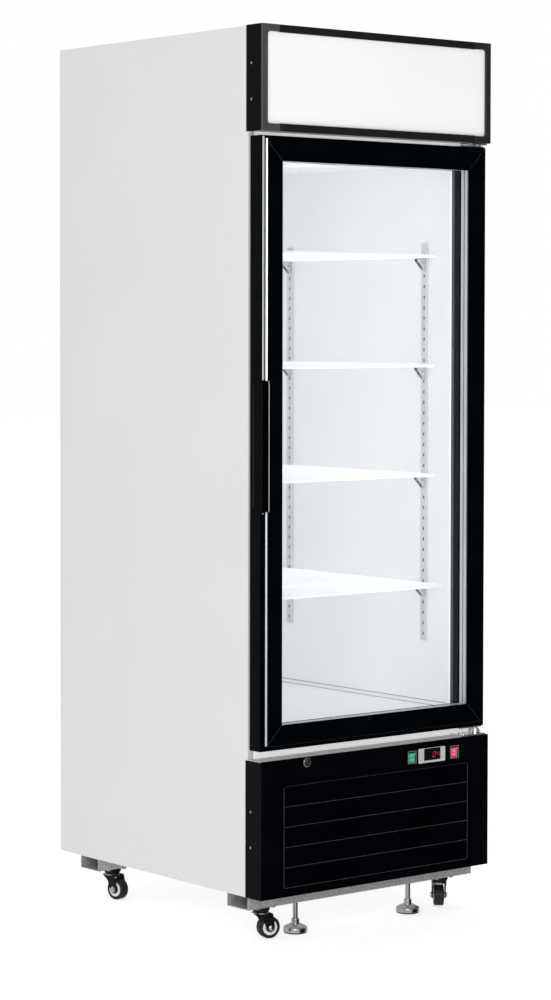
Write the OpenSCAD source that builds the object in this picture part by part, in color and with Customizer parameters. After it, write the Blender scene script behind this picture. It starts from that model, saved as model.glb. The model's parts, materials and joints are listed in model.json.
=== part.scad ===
// Upright refrigerated display cabinet with one glass door, a lit canopy above the door and
// a cover with louvres over the compressor compartment. Millimetres. The origin is on the
// floor under the middle of the cabinet, +Z is up and the door faces -Y.

/* [Cabinet] */
// Overall width, over the canopy and the lower cover
total_w = 686; // [660:1:740]
// Overall depth, from the canopy's front to the rear panel
total_d = 772; // [740:1:840]
// Overall height from the floor
total_h = 2031; // [2010:1:2090]
// Thickness of the insulated walls with both skins
wall_t = 50; // [44:1:58]
// Depth of the space in front of the cabinet's face for the door and the covers
front_gap = 50; // [50:1:54]

/* [Underframe] */
// Height of a caster, from the floor to the top of its plate
caster_h = 77; // [74:1:90]
// Height of the steel rails that carry the casters
rail_h = 30; // [24:1:40]
// Diameter of a caster wheel
wheel_d = 50; // [46:1:52]
// Width of a caster wheel
wheel_w = 24; // [18:1:26]
// Distance of a caster's axle from its swivel axis
trail = 18; // [16:1:24]
// Diameter of a levelling foot's pad
foot_d = 55; // [45:1:60]

/* [Front] */
// Height of the lower cover
cover_h = 307; // [300:1:320]
// Height of the lit canopy
canopy_h = 233; // [220:1:240]
// Width of the door
door_w = 669; // [650:1:672]
// Thickness of the door's frame, without its gasket
door_t = 31.5; // [31.5:0.5:33]
// Width of the door's frame members
member_w = 55; // [50:1:65]
// Height of the door's handle
handle_h = 289; // [200:1:400]

/* [Shelves] */
// Height of each shelf's upper side above the floor
shelf_z = [767, 1026, 1284, 1542];
// Position of each shelf's front edge behind the canopy's front
shelf_front = [81, 115, 115, 115];
// Spacing of the shelf wires
wire_pitch = 25; // [20:1:40]
// Spacing of the slots in the shelf standards
slot_pitch = 25; // [25:1:30]

/* [Hidden] */

// Running clearance of a pin in its bore, on the radius
pin_play = 0.06;
// Screws through the sides of the covers
screw_r = 2.05;
screw_head = 3.4;

// Cabinet: half widths, and positions along Y and Z
skin = 1;
half_w = total_w / 2;
shell_x = half_w - skin;
front_y = -total_d / 2;
back_y = total_d / 2;
face_y = front_y + front_gap;
body_z = caster_h + rail_h;
lip = 7;
shell_top = total_h - 1.5;
return_w = 15;
face_t = 3;
cover_top = body_z + cover_h;
canopy_z = total_h - canopy_h;
foam_z = cover_top + 4;

// Inside of the cabinet
in_x = half_w - wall_t - skin;
in_back = back_y - 60;
in_floor = cover_top + 59;
in_top = canopy_z - 46;
coil_front = face_y + wall_t;
coil_top = total_h - wall_t - skin;

// Door
door_x = door_w / 2;
door_front = front_y + 6.5;
door_back = door_front + door_t;
door_z0 = cover_top + 21;
door_z1 = canopy_z - 9.5;
seal_gap = 0.4;
edge_cap = 6;
grip_z = door_z0 + 528;
pivot_x = door_x - 14;
pivot_y = door_front + door_t / 2;
pin_r = 5;
pane_t = 3;
air_gap = 9;
rebate = 12;
lip_t = 2.5;

// Lower cover and its controls
screw_y = front_y + 40;
screw_z = [cover_top - 194, cover_top - 115, canopy_z + 70, canopy_z + 149];
cover_front = front_y + 1.5;
cover_t = 2.5;
grille_x = 278;
slat_n = 5;
slat_pitch = 45.2;
grille_z1 = cover_top - 62;
grille_z0 = grille_z1 - slat_n * slat_pitch;
control_z = cover_top - 32;
lock_x = -211.5;
lock_z = cover_top - 13;
green_x = 103;
red_x = 235;
panel_x = 164;
switch_w = 30;
switch_h = 31;
rocker_y = cover_front + 11.65;
rocker_tilt = 8;
key_x = 197.5;
key_w = 8;

// Underframe
rail_x = 338;
front_rail = [front_y + 53, front_y + 128];
rear_rail = [back_y - 151, back_y - 79];
caster_x = 271;
caster_front = front_y + 91;
caster_rear = back_y - 115;
foot_x = 171;
foot_y = (front_rail[0] + front_rail[1]) / 2;
foot_r = 6;
rail_t = 2;
fork_z = 57;
fork_t = 2.5;
axle_r = 4;

// Inside fittings
standard_w = 20;
standard_d = 5;
standard_z = [625, 1568];
standard_y = [front_y + 168, front_y + 669];
clip_reach = 26;
clip_h = 28;
shelf_x = in_x - 11;
shelf_back = back_y - 92;
bar_w = 6.4;
wire_r = 1.8;
shelf_drop = 9.6;
fan_r = 96;
fan_box = 230;
condenser_y = face_y + 30;
condenser_z = body_z + 150;

module bar(x, y, z) {
    // A block between two corners: x, y and z are each [low, high]
    translate([x[0], y[0], z[0]]) cube([x[1] - x[0], y[1] - y[0], z[1] - z[0]]);
}

module rod_x(x, y, z, r) {
    translate([x[0], y, z]) rotate([0, 90, 0]) cylinder(h = x[1] - x[0], r = r, $fn = 32);
}

module rod_y(x, y, z, r) {
    translate([x, y[0], z]) rotate([-90, 0, 0]) cylinder(h = y[1] - y[0], r = r, $fn = 32);
}

module rod_z(x, y, z, r) {
    translate([x, y, z[0]]) cylinder(h = z[1] - z[0], r = r, $fn = 48);
}

module screw_hole(z) {
    // Clearance hole through a cover's right side, sunk for the screw's head
    rod_x([half_w - 4, half_w + 1], screw_y, z, screw_r);
    rod_x([half_w - 1.4, half_w + 1], screw_y, z, screw_head + 0.1);
}

module both_sides() {
    for (side = [0, 1]) mirror([side, 0, 0]) children();
}

module ring_xz(outer_x, outer_z, inner_x, inner_z, y) {
    // A rectangular frame that stands in the XZ plane, symmetric about X = 0
    difference() {
        bar([-outer_x, outer_x], y, outer_z);
        bar([-inner_x, inner_x], [y[0] - 1, y[1] + 1], inner_z);
    }
}

// ---------------------------------------------------------------- cabinet

module side_panels() {
    color("gainsboro") both_sides() {
        bar([shell_x - skin, shell_x], [face_y, back_y], [body_z, shell_top]);
        bar([shell_x - skin - return_w, shell_x - skin], [face_y, face_y + skin],
            [body_z, shell_top]);
        bar([shell_x - skin - return_w, shell_x - skin], [back_y - skin, back_y],
            [body_z, shell_top]);
        for (z = screw_z) difference() {
            bar([half_w - 4.2, half_w - cover_t], [face_y - 18, face_y + skin], [z - 12, z + 12]);
            rod_x([half_w - 6, half_w], screw_y, z, screw_r);
        }
    }
}

module rear_panel() {
    inner = shell_x - skin - return_w;
    color("gainsboro") bar([-inner, inner], [back_y - skin, back_y], [foam_z, shell_top]);
}

module rear_grille() {
    inner = shell_x - skin - return_w;
    slot_rows = 11;
    color("silver") difference() {
        bar([-inner, inner], [back_y - skin, back_y], [body_z + 1.5, foam_z]);
        for (row = [0 : slot_rows - 1], column = [-2 : 2])
            translate([column * 116 - 46, back_y - skin - 1, body_z + 48 + row * 20])
                cube([92, skin + 2, 8]);
        rod_y(-260, [back_y - 4, back_y + 1], body_z + 24, 9);
    }
}

module top_panel() {
    inner = shell_x - skin;
    color("gainsboro")
        bar([-inner, inner], [face_y + skin, back_y - skin], [shell_top - skin, shell_top]);
}

module cavity(grow) {
    // The cold space: the part behind the door and the coil space above its ceiling
    x = in_x + grow;
    bar([-x, x], [face_y - 1, in_back + grow], [in_floor - grow, in_top + 4 + grow]);
    bar([-x, x], [coil_front - grow, in_back + grow], [in_top - 2, coil_top + grow]);
}

module insulation() {
    x = shell_x - skin;
    color("khaki") difference() {
        bar([-x, x], [face_y + face_t, back_y - skin], [foam_z, shell_top - skin]);
        cavity(skin);
        bar([-60, -40], [in_back + 10, back_y - 20], [foam_z - 1, coil_top - 40]);
        bar([-60, -40], [in_back - 10, back_y - 20], [coil_top - 60, coil_top - 40]);
    }
}

module inner_liner() {
    color("white") difference() {
        intersection() {
            cavity(skin);
            bar([-half_w, half_w], [face_y + face_t, back_y], [0, total_h]);
        }
        cavity(0);
        bar([-62, -38], [in_back - 1, in_back + skin + 1], [coil_top - 62, coil_top - 38]);
    }
}

module face_frame() {
    inner = shell_x - skin - return_w;
    color("whitesmoke")
        ring_xz(inner, [cover_top - 12, shell_top - skin], in_x, [in_floor, in_top + 4],
                [face_y, face_y + face_t]);
}

module base_rail(y) {
    // Open-ended channel with two inward lips along its upper edges
    difference() {
        bar([-rail_x, rail_x], y, [caster_h, body_z]);
        bar([-rail_x - 1, rail_x + 1], [y[0] + rail_t, y[1] - rail_t],
            [caster_h + rail_t, body_z - rail_t]);
        bar([-rail_x - 1, rail_x + 1], [y[0] + 16, y[1] - 16], [caster_h + rail_t, body_z + 1]);
    }
}

module base_rails() {
    // The front rail has a weld nut over each levelling foot
    color("silver") {
        difference() {
            union() {
                base_rail(front_rail);
                for (side = [-1, 1]) translate([side * foot_x, foot_y, caster_h + rail_t - 0.5])
                    cylinder(h = 9, r = 11, $fn = 6);
            }
            for (side = [-1, 1])
                rod_z(side * foot_x, foot_y, [caster_h - 1, caster_h + 20], foot_r + pin_play);
        }
        base_rail(rear_rail);
    }
}

module base_pan() {
    x = shell_x - skin;
    color("silver") {
        bar([-x, x], [face_y + skin, back_y - skin], [body_z, body_z + 1.5]);
        both_sides()
            bar([x - 1.5, x], [face_y + skin, back_y - skin], [body_z, body_z + 14]);
    }
}

module hinge_ledge() {
    // Steel shelf under the door that carries the lower hinge
    color("lightgray") difference() {
        union() {
            bar([-shell_x, shell_x], [cover_front + cover_t, face_y],
                [cover_top - 2, cover_top]);
            bar([-shell_x + 30, shell_x - 30], [face_y - 2, face_y],
                [cover_top - 18, cover_top]);
        }
        bar([lock_x - 10, lock_x + 46], [pivot_y - 4, pivot_y + 4],
            [cover_top - 3, cover_top + 1]);
    }
}

module shelf_standards() {
    rows = floor((standard_z[1] - standard_z[0] - 20) / slot_pitch);
    color("silver") both_sides() for (y = standard_y) difference() {
        bar([in_x - standard_d, in_x], [y - standard_w / 2, y + standard_w / 2], standard_z);
        bar([in_x - standard_d + 1.2, in_x + 1],
            [y - standard_w / 2 + 1.2, y + standard_w / 2 - 1.2],
            [standard_z[0] - 1, standard_z[1] + 1]);
        for (row = [0 : rows])
            bar([in_x - standard_d - 1, in_x - standard_d + 2], [y - 2, y + 2],
                [standard_z[0] + 12.5 + row * slot_pitch, standard_z[0] + 19.5 + row * slot_pitch]);
    }
}

module shelf_clips() {
    x = in_x - standard_d;
    color("silver") both_sides() for (y = standard_y, z = shelf_z)
        translate([0, y + 6, z - shelf_drop]) rotate([90, 0, 0]) linear_extrude(12)
            polygon([[x, 0], [x, -clip_h], [x - 5, -clip_h], [x - clip_reach, -5],
                     [x - clip_reach, 0]]);
}

module evaporator_cover() {
    color("white") difference() {
        bar([-in_x + 0.4, in_x - 0.4], [coil_front, in_back - 0.4], [in_top, in_top + 1.6]);
        rod_z(0, -110, [in_top - 1, in_top + 3], fan_r + 4);
        for (column = [-9 : 9])
            bar([column * 28 - 8, column * 28 + 8], [in_back - 90, in_back - 30],
                [in_top - 1, in_top + 3]);
    }
}

// ---------------------------------------------------------------- refrigeration

module finned_coil(size, fins, rows, columns) {
    // A pack of fins on straight tubes along X, with an end plate at each side
    tube_r = 5;
    for (i = [0 : fins - 1])
        translate([-size[0] / 2 + i * (size[0] - 1) / (fins - 1), -size[1] / 2, 0])
            cube([1, size[1], size[2]]);
    for (row = [0 : rows - 1], column = [0 : columns - 1])
        rod_x([-size[0] / 2 - 8, size[0] / 2 + 8], (column + 0.5) * size[1] / columns
              - size[1] / 2, (row + 0.5) * size[2] / rows, tube_r);
    for (side = [-1, 1])
        translate([side * (size[0] / 2 + 8) - 1, -size[1] / 2, 0]) cube([2, size[1], size[2]]);
}

module evaporator_coil() {
    color("silver") translate([0, 110, in_top + 24]) finned_coil([420, 120, 130], 20, 3, 2);
}

module condenser_coil() {
    color("dimgray") translate([-60, condenser_y + 30, body_z + 1.5])
        finned_coil([380, 60, 260], 22, 5, 1);
}

module fan_mount(depth) {
    // Square plate with a round mouth, three arms, a motor and its shaft, facing +Z
    difference() {
        translate([-fan_box / 2, -fan_box / 2, -1.5]) cube([fan_box, fan_box, 3]);
        cylinder(h = 10, r = fan_r + 4, center = true, $fn = 96);
    }
    for (arm = [0 : 2]) rotate([0, 0, arm * 120]) {
        translate([20, -5, depth]) cube([fan_r - 8, 10, 3]);
        translate([fan_r + 6, -5, 0]) cube([6, 10, depth + 3]);
    }
    translate([0, 0, depth]) cylinder(h = 46, r = 34, $fn = 64);
    translate([0, 0, depth - 22]) cylinder(h = 24, r = 3, $fn = 32);
}

module fan_blades(count) {
    // Hub with a bore for the motor's shaft and pitched blades, facing +Z
    difference() {
        union() {
            cylinder(h = 22, r = 20, $fn = 64);
            intersection() {
                for (i = [0 : count - 1]) rotate([0, 0, i * 360 / count])
                    translate([16, 0, 11]) rotate([28, 0, 0])
                        translate([0, -28, -1]) cube([fan_r, 56, 2]);
                translate([0, 0, -20]) cylinder(h = 60, r = fan_r, $fn = 96);
            }
        }
        translate([0, 0, -1]) cylinder(h = 24, r = 3 + pin_play, $fn = 32);
    }
}

module at_evaporator_fan() {
    translate([0, -110, in_top + 3.1]) children();
}

module at_condenser_fan() {
    translate([-60, condenser_y + 64, condenser_z]) rotate([-90, 0, 0]) children();
}

module fan_motors() {
    color("dimgray") {
        at_evaporator_fan() fan_mount(44);
        at_condenser_fan() fan_mount(44);
    }
}

module evaporator_fan() {
    color("black") at_evaporator_fan() translate([0, 0, 16]) fan_blades(5);
}

module condenser_fan() {
    color("black") at_condenser_fan() translate([0, 0, 16]) fan_blades(5);
}

module compressor() {
    // Welded steel shell on a foot plate with four rubber bushes, and its terminal box
    shell_r = 82;
    color("black") translate([150, 250, body_z + 1.5]) {
        for (x = [-85, 85], y = [-60, 60]) translate([x, y, 0]) cylinder(h = 12, r = 12, $fn = 32);
        difference() {
            translate([-105, -80, 12]) cube([210, 160, 3]);
            for (x = [-85, 85], y = [-60, 60])
                translate([x, y, 10]) cylinder(h = 8, r = 4.5, $fn = 32);
        }
        rotate_extrude($fn = 72) {
            translate([0, 15]) square([shell_r - 20, 160]);
            translate([0, 35]) square([shell_r, 120]);
            translate([shell_r - 20, 35]) intersection() {
                circle(r = 20, $fn = 48);
                translate([0, -20]) square(20);
            }
            translate([shell_r - 20, 155]) intersection() {
                circle(r = 20, $fn = 48);
                square(20);
            }
        }
        translate([-30, -shell_r - 30, 70]) cube([60, 40, 60]);
    }
}

module pipe_run(points, r) {
    // Straight lengths between corner points that differ along one axis at a time
    for (i = [0 : len(points) - 2]) {
        a = points[i];
        b = points[i + 1];
        low = [for (k = [0 : 2]) min(a[k], b[k])];
        high = [for (k = [0 : 2]) max(a[k], b[k])];
        if (a[0] != b[0]) rod_x([low[0], high[0]], a[1], a[2], r);
        if (a[1] != b[1]) rod_y(a[0], [low[1], high[1]], a[2], r);
        if (a[2] != b[2]) rod_z(a[0], a[1], [low[2], high[2]], r);
        if (i > 0) translate(a) sphere(r = r, $fn = 32);
    }
}

module refrigerant_pipes() {
    // Suction and liquid lines in the duct of the rear wall, and the hot line to the condenser
    duct_y = back_y - 40;
    coil_y = in_back - 40;
    high = coil_top - 50;
    color("peru") {
        pipe_run([[150, 332, body_z + 120], [150, duct_y, body_z + 120],
                  [-54, duct_y, body_z + 120], [-54, duct_y, high], [-54, coil_y, high]], 4);
        pipe_run([[-259, condenser_y + 30, body_z + 60], [-290, condenser_y + 30, body_z + 60],
                  [-290, duct_y, body_z + 60], [-44, duct_y, body_z + 60],
                  [-44, duct_y, high], [-44, coil_y, high]], 3);
        pipe_run([[200, 182, body_z + 160], [200, condenser_y + 30, body_z + 160],
                  [140, condenser_y + 30, body_z + 160]], 4);
    }
}

module drain_pan() {
    color("dimgray") translate([-250, 120, body_z + 1.5]) difference() {
        cube([220, 180, 40]);
        translate([3, 3, 3]) cube([214, 174, 40]);
    }
}

module cable_gland() {
    // Grommet in the rear grille where the supply lead enters
    color("black") difference() {
        union() {
            rod_y(-260, [back_y - 12, back_y - 4], body_z + 24, 12);
            rod_y(-260, [back_y - 12, back_y], body_z + 24, 8.9);
        }
        rod_y(-260, [back_y - 13, back_y + 1], body_z + 24, 4.2);
    }
}

// ---------------------------------------------------------------- canopy

module canopy_housing() {
    color("black") {
        both_sides() difference() {
            union() {
                bar([half_w - 2, half_w], [front_y + 6, face_y - 0.2], [canopy_z, total_h]);
                bar([shell_x, half_w], [face_y - 0.2, face_y + lip], [canopy_z, total_h]);
            }
            for (z = [screw_z[2], screw_z[3]]) screw_hole(z);
        }
        bar([-half_w + 2, half_w - 2], [front_y + 6, face_y + lip], [shell_top, total_h]);
        bar([-half_w + 2, half_w - 2], [front_y + 6, face_y - 3.6], [canopy_z, canopy_z + 2]);
    }
}

module canopy_bezel() {
    // Upper and lower bars with a C-shaped piece at each end
    rail_w = 16;
    end_w = 50;
    y = [front_y, front_y + 6];
    color("black") {
        for (z = [canopy_z, total_h - rail_w - 1])
            bar([-half_w + end_w, half_w - end_w], [front_y + 0.5, y[1]], [z, z + rail_w + 1]);
        both_sides() {
            bar([half_w - end_w, half_w], y, [canopy_z, canopy_z + rail_w]);
            bar([half_w - end_w, half_w], y, [total_h - rail_w, total_h]);
            bar([half_w - rail_w, half_w], y, [canopy_z, total_h]);
        }
    }
}

module sign_lens() {
    color("white")
        bar([-half_w + 8, half_w - 8], [front_y + 6, front_y + 9],
            [canopy_z + 9, shell_top - 8]);
}

module canopy_lamp() {
    z = canopy_z + canopy_h / 2;
    color("ivory") {
        bar([-300, 300], [face_y - 5, face_y], [z - 20, z + 20]);
        rod_x([-285, 285], face_y - 20, z, 13);
        both_sides() bar([278, 292], [face_y - 34, face_y - 4], [z - 15, z + 15]);
    }
}

// ---------------------------------------------------------------- lower cover

module lower_cover() {
    y = [cover_front, cover_front + cover_t];
    color("black") difference() {
        union() {
            bar([-half_w, half_w], y, [body_z, cover_top]);
            both_sides() {
                bar([half_w - cover_t, half_w], [cover_front, face_y - 0.2],
                    [body_z, cover_top - 2]);
                bar([shell_x, half_w], [face_y - 0.2, face_y + lip], [body_z, cover_top - 2]);
            }
        }
        bar([-grille_x, grille_x], [y[0] - 1, y[1] + 1], [grille_z0, grille_z1]);
        for (x = [green_x, red_x])
            bar([x - switch_w / 2 + 1.5, x + switch_w / 2 - 1.5], [y[0] - 1, y[1] + 1],
                [control_z - switch_h / 2 + 1.5, control_z + switch_h / 2 - 1.5]);
        bar([panel_x - 38, panel_x + 38], [y[0] - 1, y[1] + 1], [control_z - 14, control_z + 14]);
        rod_y(lock_x, [y[0] - 1, y[1] + 1], lock_z, 9.05);
        both_sides() for (z = [screw_z[0], screw_z[1]]) screw_hole(z);
    }
}

module louvre_panel() {
    // Slats that overlap like roof tiles, with air gaps behind their lower edges
    y = cover_front;
    color("black") {
        for (i = [0 : slat_n - 1])
            translate([-grille_x + 2, 0, grille_z0 + i * slat_pitch]) rotate([90, 0, 90])
                linear_extrude(2 * grille_x - 4)
                    polygon([[y + 0.4, 1.5], [y + 0.4, 3.5], [y + 6, slat_pitch + 5],
                             [y + 8, slat_pitch + 5], [y + 3, 3.5], [y + 3, 1.5]]);
        both_sides() bar([grille_x - 2, grille_x], [y + 0.2, y + 12], [grille_z0, grille_z1]);
        bar([-grille_x, grille_x], [y + 9, y + 12], [grille_z0 - 8, grille_z0 + 6]);
        bar([-grille_x, grille_x], [y + 9, y + 12], [grille_z1 - 2, grille_z1 + 12]);
        for (x = [-139, 0, 139])
            bar([x - 2, x + 2], [y + 7, y + 12], [grille_z0, grille_z1]);
    }
}

module cover_screws() {
    // Round-headed screws through the sides of the canopy and of the lower cover
    color("silver") both_sides() for (z = screw_z) {
        rod_x([half_w - 12, half_w - 1.3], screw_y, z, screw_r - 0.05);
        rod_x([half_w - 1.4, half_w - 0.2], screw_y, z, screw_head);
    }
}

module at_switch(x) {
    translate([x, rocker_y, control_z]) children();
}

module switch_housings() {
    color("black") for (x = [green_x, red_x]) difference() {
        union() {
            bar([x - switch_w / 2, x + switch_w / 2], [cover_front - 0.8, cover_front],
                [control_z - switch_h / 2, control_z + switch_h / 2]);
            bar([x - switch_w / 2 + 1.5, x + switch_w / 2 - 1.5], [cover_front, cover_front + 26],
                [control_z - switch_h / 2 + 1.5, control_z + switch_h / 2 - 1.5]);
        }
        bar([x - 11, x + 11], [cover_front - 2, cover_front + 17],
            [control_z - 13.2, control_z + 13.2]);
        at_switch(x) rod_x([-12.6, 12.6], 0, 0, 1.5 + pin_play);
    }
}

module rocker() {
    // Side view of the rocker about its pivot: a shallow V in front, narrow at the back
    flat = 9.6;
    half = 11.5;
    rise = half * tan(rocker_tilt);
    rotate([rocker_tilt, 0, 0]) {
        translate([-10.6, 0, 0]) rotate([90, 0, 90]) linear_extrude(21.2)
            polygon([[-flat, 0], [-flat - rise, half], [-2, 8], [3, 4], [3, -4], [-2, -8],
                     [-flat - rise, -half]]);
        rod_x([-12.2, 12.2], 0, 0, 1.5);
    }
}

module green_rocker() {
    color("mediumseagreen") at_switch(green_x) rocker();
}

module red_rocker() {
    color("crimson") at_switch(red_x) rocker();
}

module key_hole(row) {
    bar([key_x - key_w / 2 - 0.3, key_x + key_w / 2 + 0.3], [cover_front - 2, cover_front + 12],
        [control_z + row * 7 - 5.3, control_z + row * 7 + 5.3]);
}

module thermostat_case() {
    // Bezel with a display window, and the body behind the cover
    y = cover_front;
    color("lightgray") difference() {
        union() {
            bar([panel_x - 41.5, panel_x + 41.5], [y - 1, y], [control_z - 17, control_z + 17]);
            bar([panel_x - 37.8, panel_x + 37.8], [y, y + 58], [control_z - 13.8, control_z + 13.8]);
        }
        bar([panel_x - 24.5, panel_x + 27], [y - 2, y - 0.4], [control_z - 12, control_z + 17.1]);
        for (row = [-1, 1]) key_hole(row);
    }
}

module key_cap(row) {
    y = cover_front;
    bar([key_x - key_w / 2, key_x + key_w / 2], [y - 1.3, y + 10],
        [control_z + row * 7 - 5, control_z + row * 7 + 5]);
}

module key_up() {
    color("lightgray") key_cap(1);
}

module key_down() {
    color("lightgray") key_cap(-1);
}

module lock_barrel() {
    color("silver") difference() {
        union() {
            rod_y(lock_x, [cover_front - 1.2, cover_front], lock_z, 10.5);
            rod_y(lock_x, [cover_front, cover_front + 14], lock_z, 9);
        }
        rod_y(lock_x, [cover_front - 2, cover_front + 15], lock_z, 6.5 + pin_play);
    }
}

module lock_plug() {
    // Plug with a key slot, and the cam that turns up into the door's lower rail
    cam_y = [pivot_y - 1.2, pivot_y + 1.2];
    color("silver") {
        difference() {
            rod_y(lock_x, [cover_front - 1, cam_y[1]], lock_z, 6.5);
            bar([lock_x - 1, lock_x + 1], [cover_front - 2, cover_front + 8],
                [lock_z - 4.5, lock_z + 4.5]);
        }
        bar([lock_x, lock_x + 37], cam_y, [lock_z - 6, lock_z + 6]);
        rod_y(lock_x + 37, cam_y, lock_z, 6);
    }
}

// ---------------------------------------------------------------- door

module member(length) {
    // A door member along +X from x = 0: outer edge at z = 0, front at y = 0. The front edge
    // is stepped along the outside and a rebate holds the glass along the inside.
    rotate([90, 0, 90]) linear_extrude(length)
        polygon([[2.5, 0], [2.5, 8], [0, 11], [0, member_w], [lip_t, member_w],
                 [lip_t, member_w - rebate], [door_t - 1.5, member_w - rebate],
                 [door_t - 1.5, member_w], [door_t, member_w], [door_t, 0]]);
}

module mitred(length) {
    // A member with both ends cut at 45 degrees
    intersection() {
        member(length);
        translate([0, door_t + 1, 0]) rotate([90, 0, 0]) linear_extrude(door_t + 2)
            polygon([[0, 0], [length, 0], [length - member_w, member_w],
                     [member_w, member_w]]);
    }
}

module hinge_bores() {
    for (z = [[door_z0 - 1, door_z0 + 26], [door_z1 - 29, door_z1 + 1]])
        rod_z(pivot_x, pivot_y, z, pin_r + pin_play);
}

module door_rails() {
    color("black") difference() {
        union() {
            translate([-door_x, door_front, door_z0]) mitred(door_w);
            translate([door_x, door_front, door_z1]) rotate([0, 180, 0]) mitred(door_w);
        }
        hinge_bores();
        bar([lock_x - 9, lock_x + 33], [pivot_y - 5, pivot_y + 5], [door_z0 - 1, door_z0 + 14]);
    }
}

module edge_profile() {
    // Covers the door's left edge and the seal behind it, above and below the grip
    difference() {
        bar([-door_x - edge_cap, -door_x], [door_front + 2.5, face_y - 5], [door_z0, door_z1]);
        bar([-door_x - edge_cap - 1, -door_x + 1], [door_front, door_back - 1],
            [grip_z, grip_z + handle_h]);
    }
}

module door_stiles() {
    height = door_z1 - door_z0;
    color("black") difference() {
        union() {
            translate([-door_x, door_front, door_z1]) rotate([0, 90, 0]) mitred(height);
            translate([door_x, door_front, door_z0]) rotate([0, -90, 0]) mitred(height);
            edge_profile();
        }
        hinge_bores();
    }
}

module door_glass() {
    inset = member_w - rebate;
    color([0.8, 0.9, 0.9, 0.3]) for (pane = [0 : 2])
        translate([0, door_front + lip_t + pane * (pane_t + air_gap), 0])
            bar([-door_x + inset, door_x - inset], [0, pane_t], [door_z0 + inset, door_z1 - inset]);
}

module glass_spacers() {
    outer = member_w - rebate + 2;
    inner = member_w - 0.5;
    color("silver") for (gap = [0, 1]) {
        y = door_front + lip_t + pane_t + gap * (pane_t + air_gap);
        ring_xz(door_x - outer, [door_z0 + outer, door_z1 - outer], door_x - inner,
                [door_z0 + inner, door_z1 - inner], [y, y + air_gap]);
    }
}

module door_gasket() {
    color("black")
        ring_xz(pivot_x - 4.5, [in_floor - 22, in_top + 22], in_x + 4, [in_floor - 4, in_top + 8],
                [door_back, face_y - seal_gap]);
}

module door_handle() {
    // Wraps the door's left edge: a side plate and a lip over the front
    x = -door_x;
    z = [grip_z, grip_z + handle_h];
    color("black") {
        bar([x - edge_cap, x], [door_front - 4, door_back - 1], z);
        bar([x - edge_cap, x + 15], [door_front - 4, door_front], z);
        bar([x, x + 8], [door_front, door_front + 2.5], z);
    }
}

module door_hinge_plates() {
    // Steel plates on the door's lower and upper edges that turn on the hinge pins
    color("silver") for (z = [[door_z0 - 3, door_z0], [door_z1, door_z1 + 2.6]])
        difference() {
            bar([pivot_x - 62, pivot_x + 10], [pivot_y - 11, pivot_y + 11], z);
            rod_z(pivot_x, pivot_y, [z[0] - 1, z[1] + 1], pin_r + pin_play);
        }
}

module hinge_brackets() {
    // Plates on the ledge and on the face, with the pins that the door turns on
    low = cover_top;
    high = door_z1 + 5.6;
    color("silver") {
        bar([pivot_x - 58, shell_x - 6], [pivot_y - 18, face_y - 2], [low, low + 3]);
        rod_z(pivot_x, pivot_y, [low + 3, low + 10], 11);
        rod_z(pivot_x, pivot_y, [low + 10, low + 14.4], 9);
        rod_z(pivot_x, pivot_y, [low + 10, door_z0 + 24], pin_r);
        bar([pivot_x - 30, shell_x - 6], [pivot_y - 16, face_y], [high, high + 3.4]);
        bar([pivot_x - 30, shell_x - 16], [face_y - 3, face_y], [high, high + 34]);
        rod_z(pivot_x, pivot_y, [door_z1 + 3, high], 9);
        rod_z(pivot_x, pivot_y, [door_z1 - 27, high], pin_r);
    }
}

// ---------------------------------------------------------------- shelves

module wire_shelf(level) {
    // Round wires from front to back, welded into a frame with two cross bars
    z = shelf_z[level];
    y = [front_y + shelf_front[level], shelf_back];
    bars = [z - shelf_drop + 0.05, z - 2.4];
    wires = floor((shelf_x - 14) / wire_pitch);
    for (i = [-wires : wires])
        rod_y(i * wire_pitch, [y[0] + 1, y[1] - 1], z - wire_r, wire_r);
    both_sides() bar([shelf_x - bar_w, shelf_x], y, bars);
    for (f = [0, 1 / 3, 2 / 3, 1]) {
        bar_y = y[0] + f * (y[1] - y[0] - bar_w);
        bar([-shelf_x + 1, shelf_x - 1], [bar_y, bar_y + bar_w], bars);
    }
}

module shelf_1() {
    color("white") wire_shelf(0);
}

module shelf_2() {
    color("white") wire_shelf(1);
}

module shelf_3() {
    color("white") wire_shelf(2);
}

module shelf_4() {
    color("white") wire_shelf(3);
}

// ---------------------------------------------------------------- casters and feet

// Place and rest direction of each caster: x, y, angle of the wheel from +X
front_left = [-caster_x, caster_front, -15];
front_right = [caster_x, caster_front, 51];
rear_left = [-caster_x, caster_rear, -80];
rear_right = [caster_x, caster_rear, 25];

module at_caster(place) {
    translate([place[0], place[1], 0]) rotate([0, 0, place[2]]) children();
}

module caster_plates() {
    // Screwed to the rails: a plate, the swivel bearing's ring and the king pin
    color("black") for (place = [front_left, front_right, rear_left, rear_right])
        translate([place[0], place[1], 0]) difference() {
            union() {
                translate([-30, -25, caster_h - 2.5]) cube([60, 50, 2.5]);
                translate([0, 0, fork_z + 4.4]) cylinder(h = caster_h - fork_z - 6, r = 17, $fn = 64);
                translate([0, 0, fork_z - 2]) cylinder(h = 10, r = 5, $fn = 48);
                translate([0, 0, fork_z - 3.4]) cylinder(h = 3, r = 9, $fn = 48);
            }
            for (x = [-22, 22], y = [-17, 17])
                translate([x, y, caster_h - 4]) cylinder(h = 6, r = 3.2, $fn = 32);
        }
}

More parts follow.
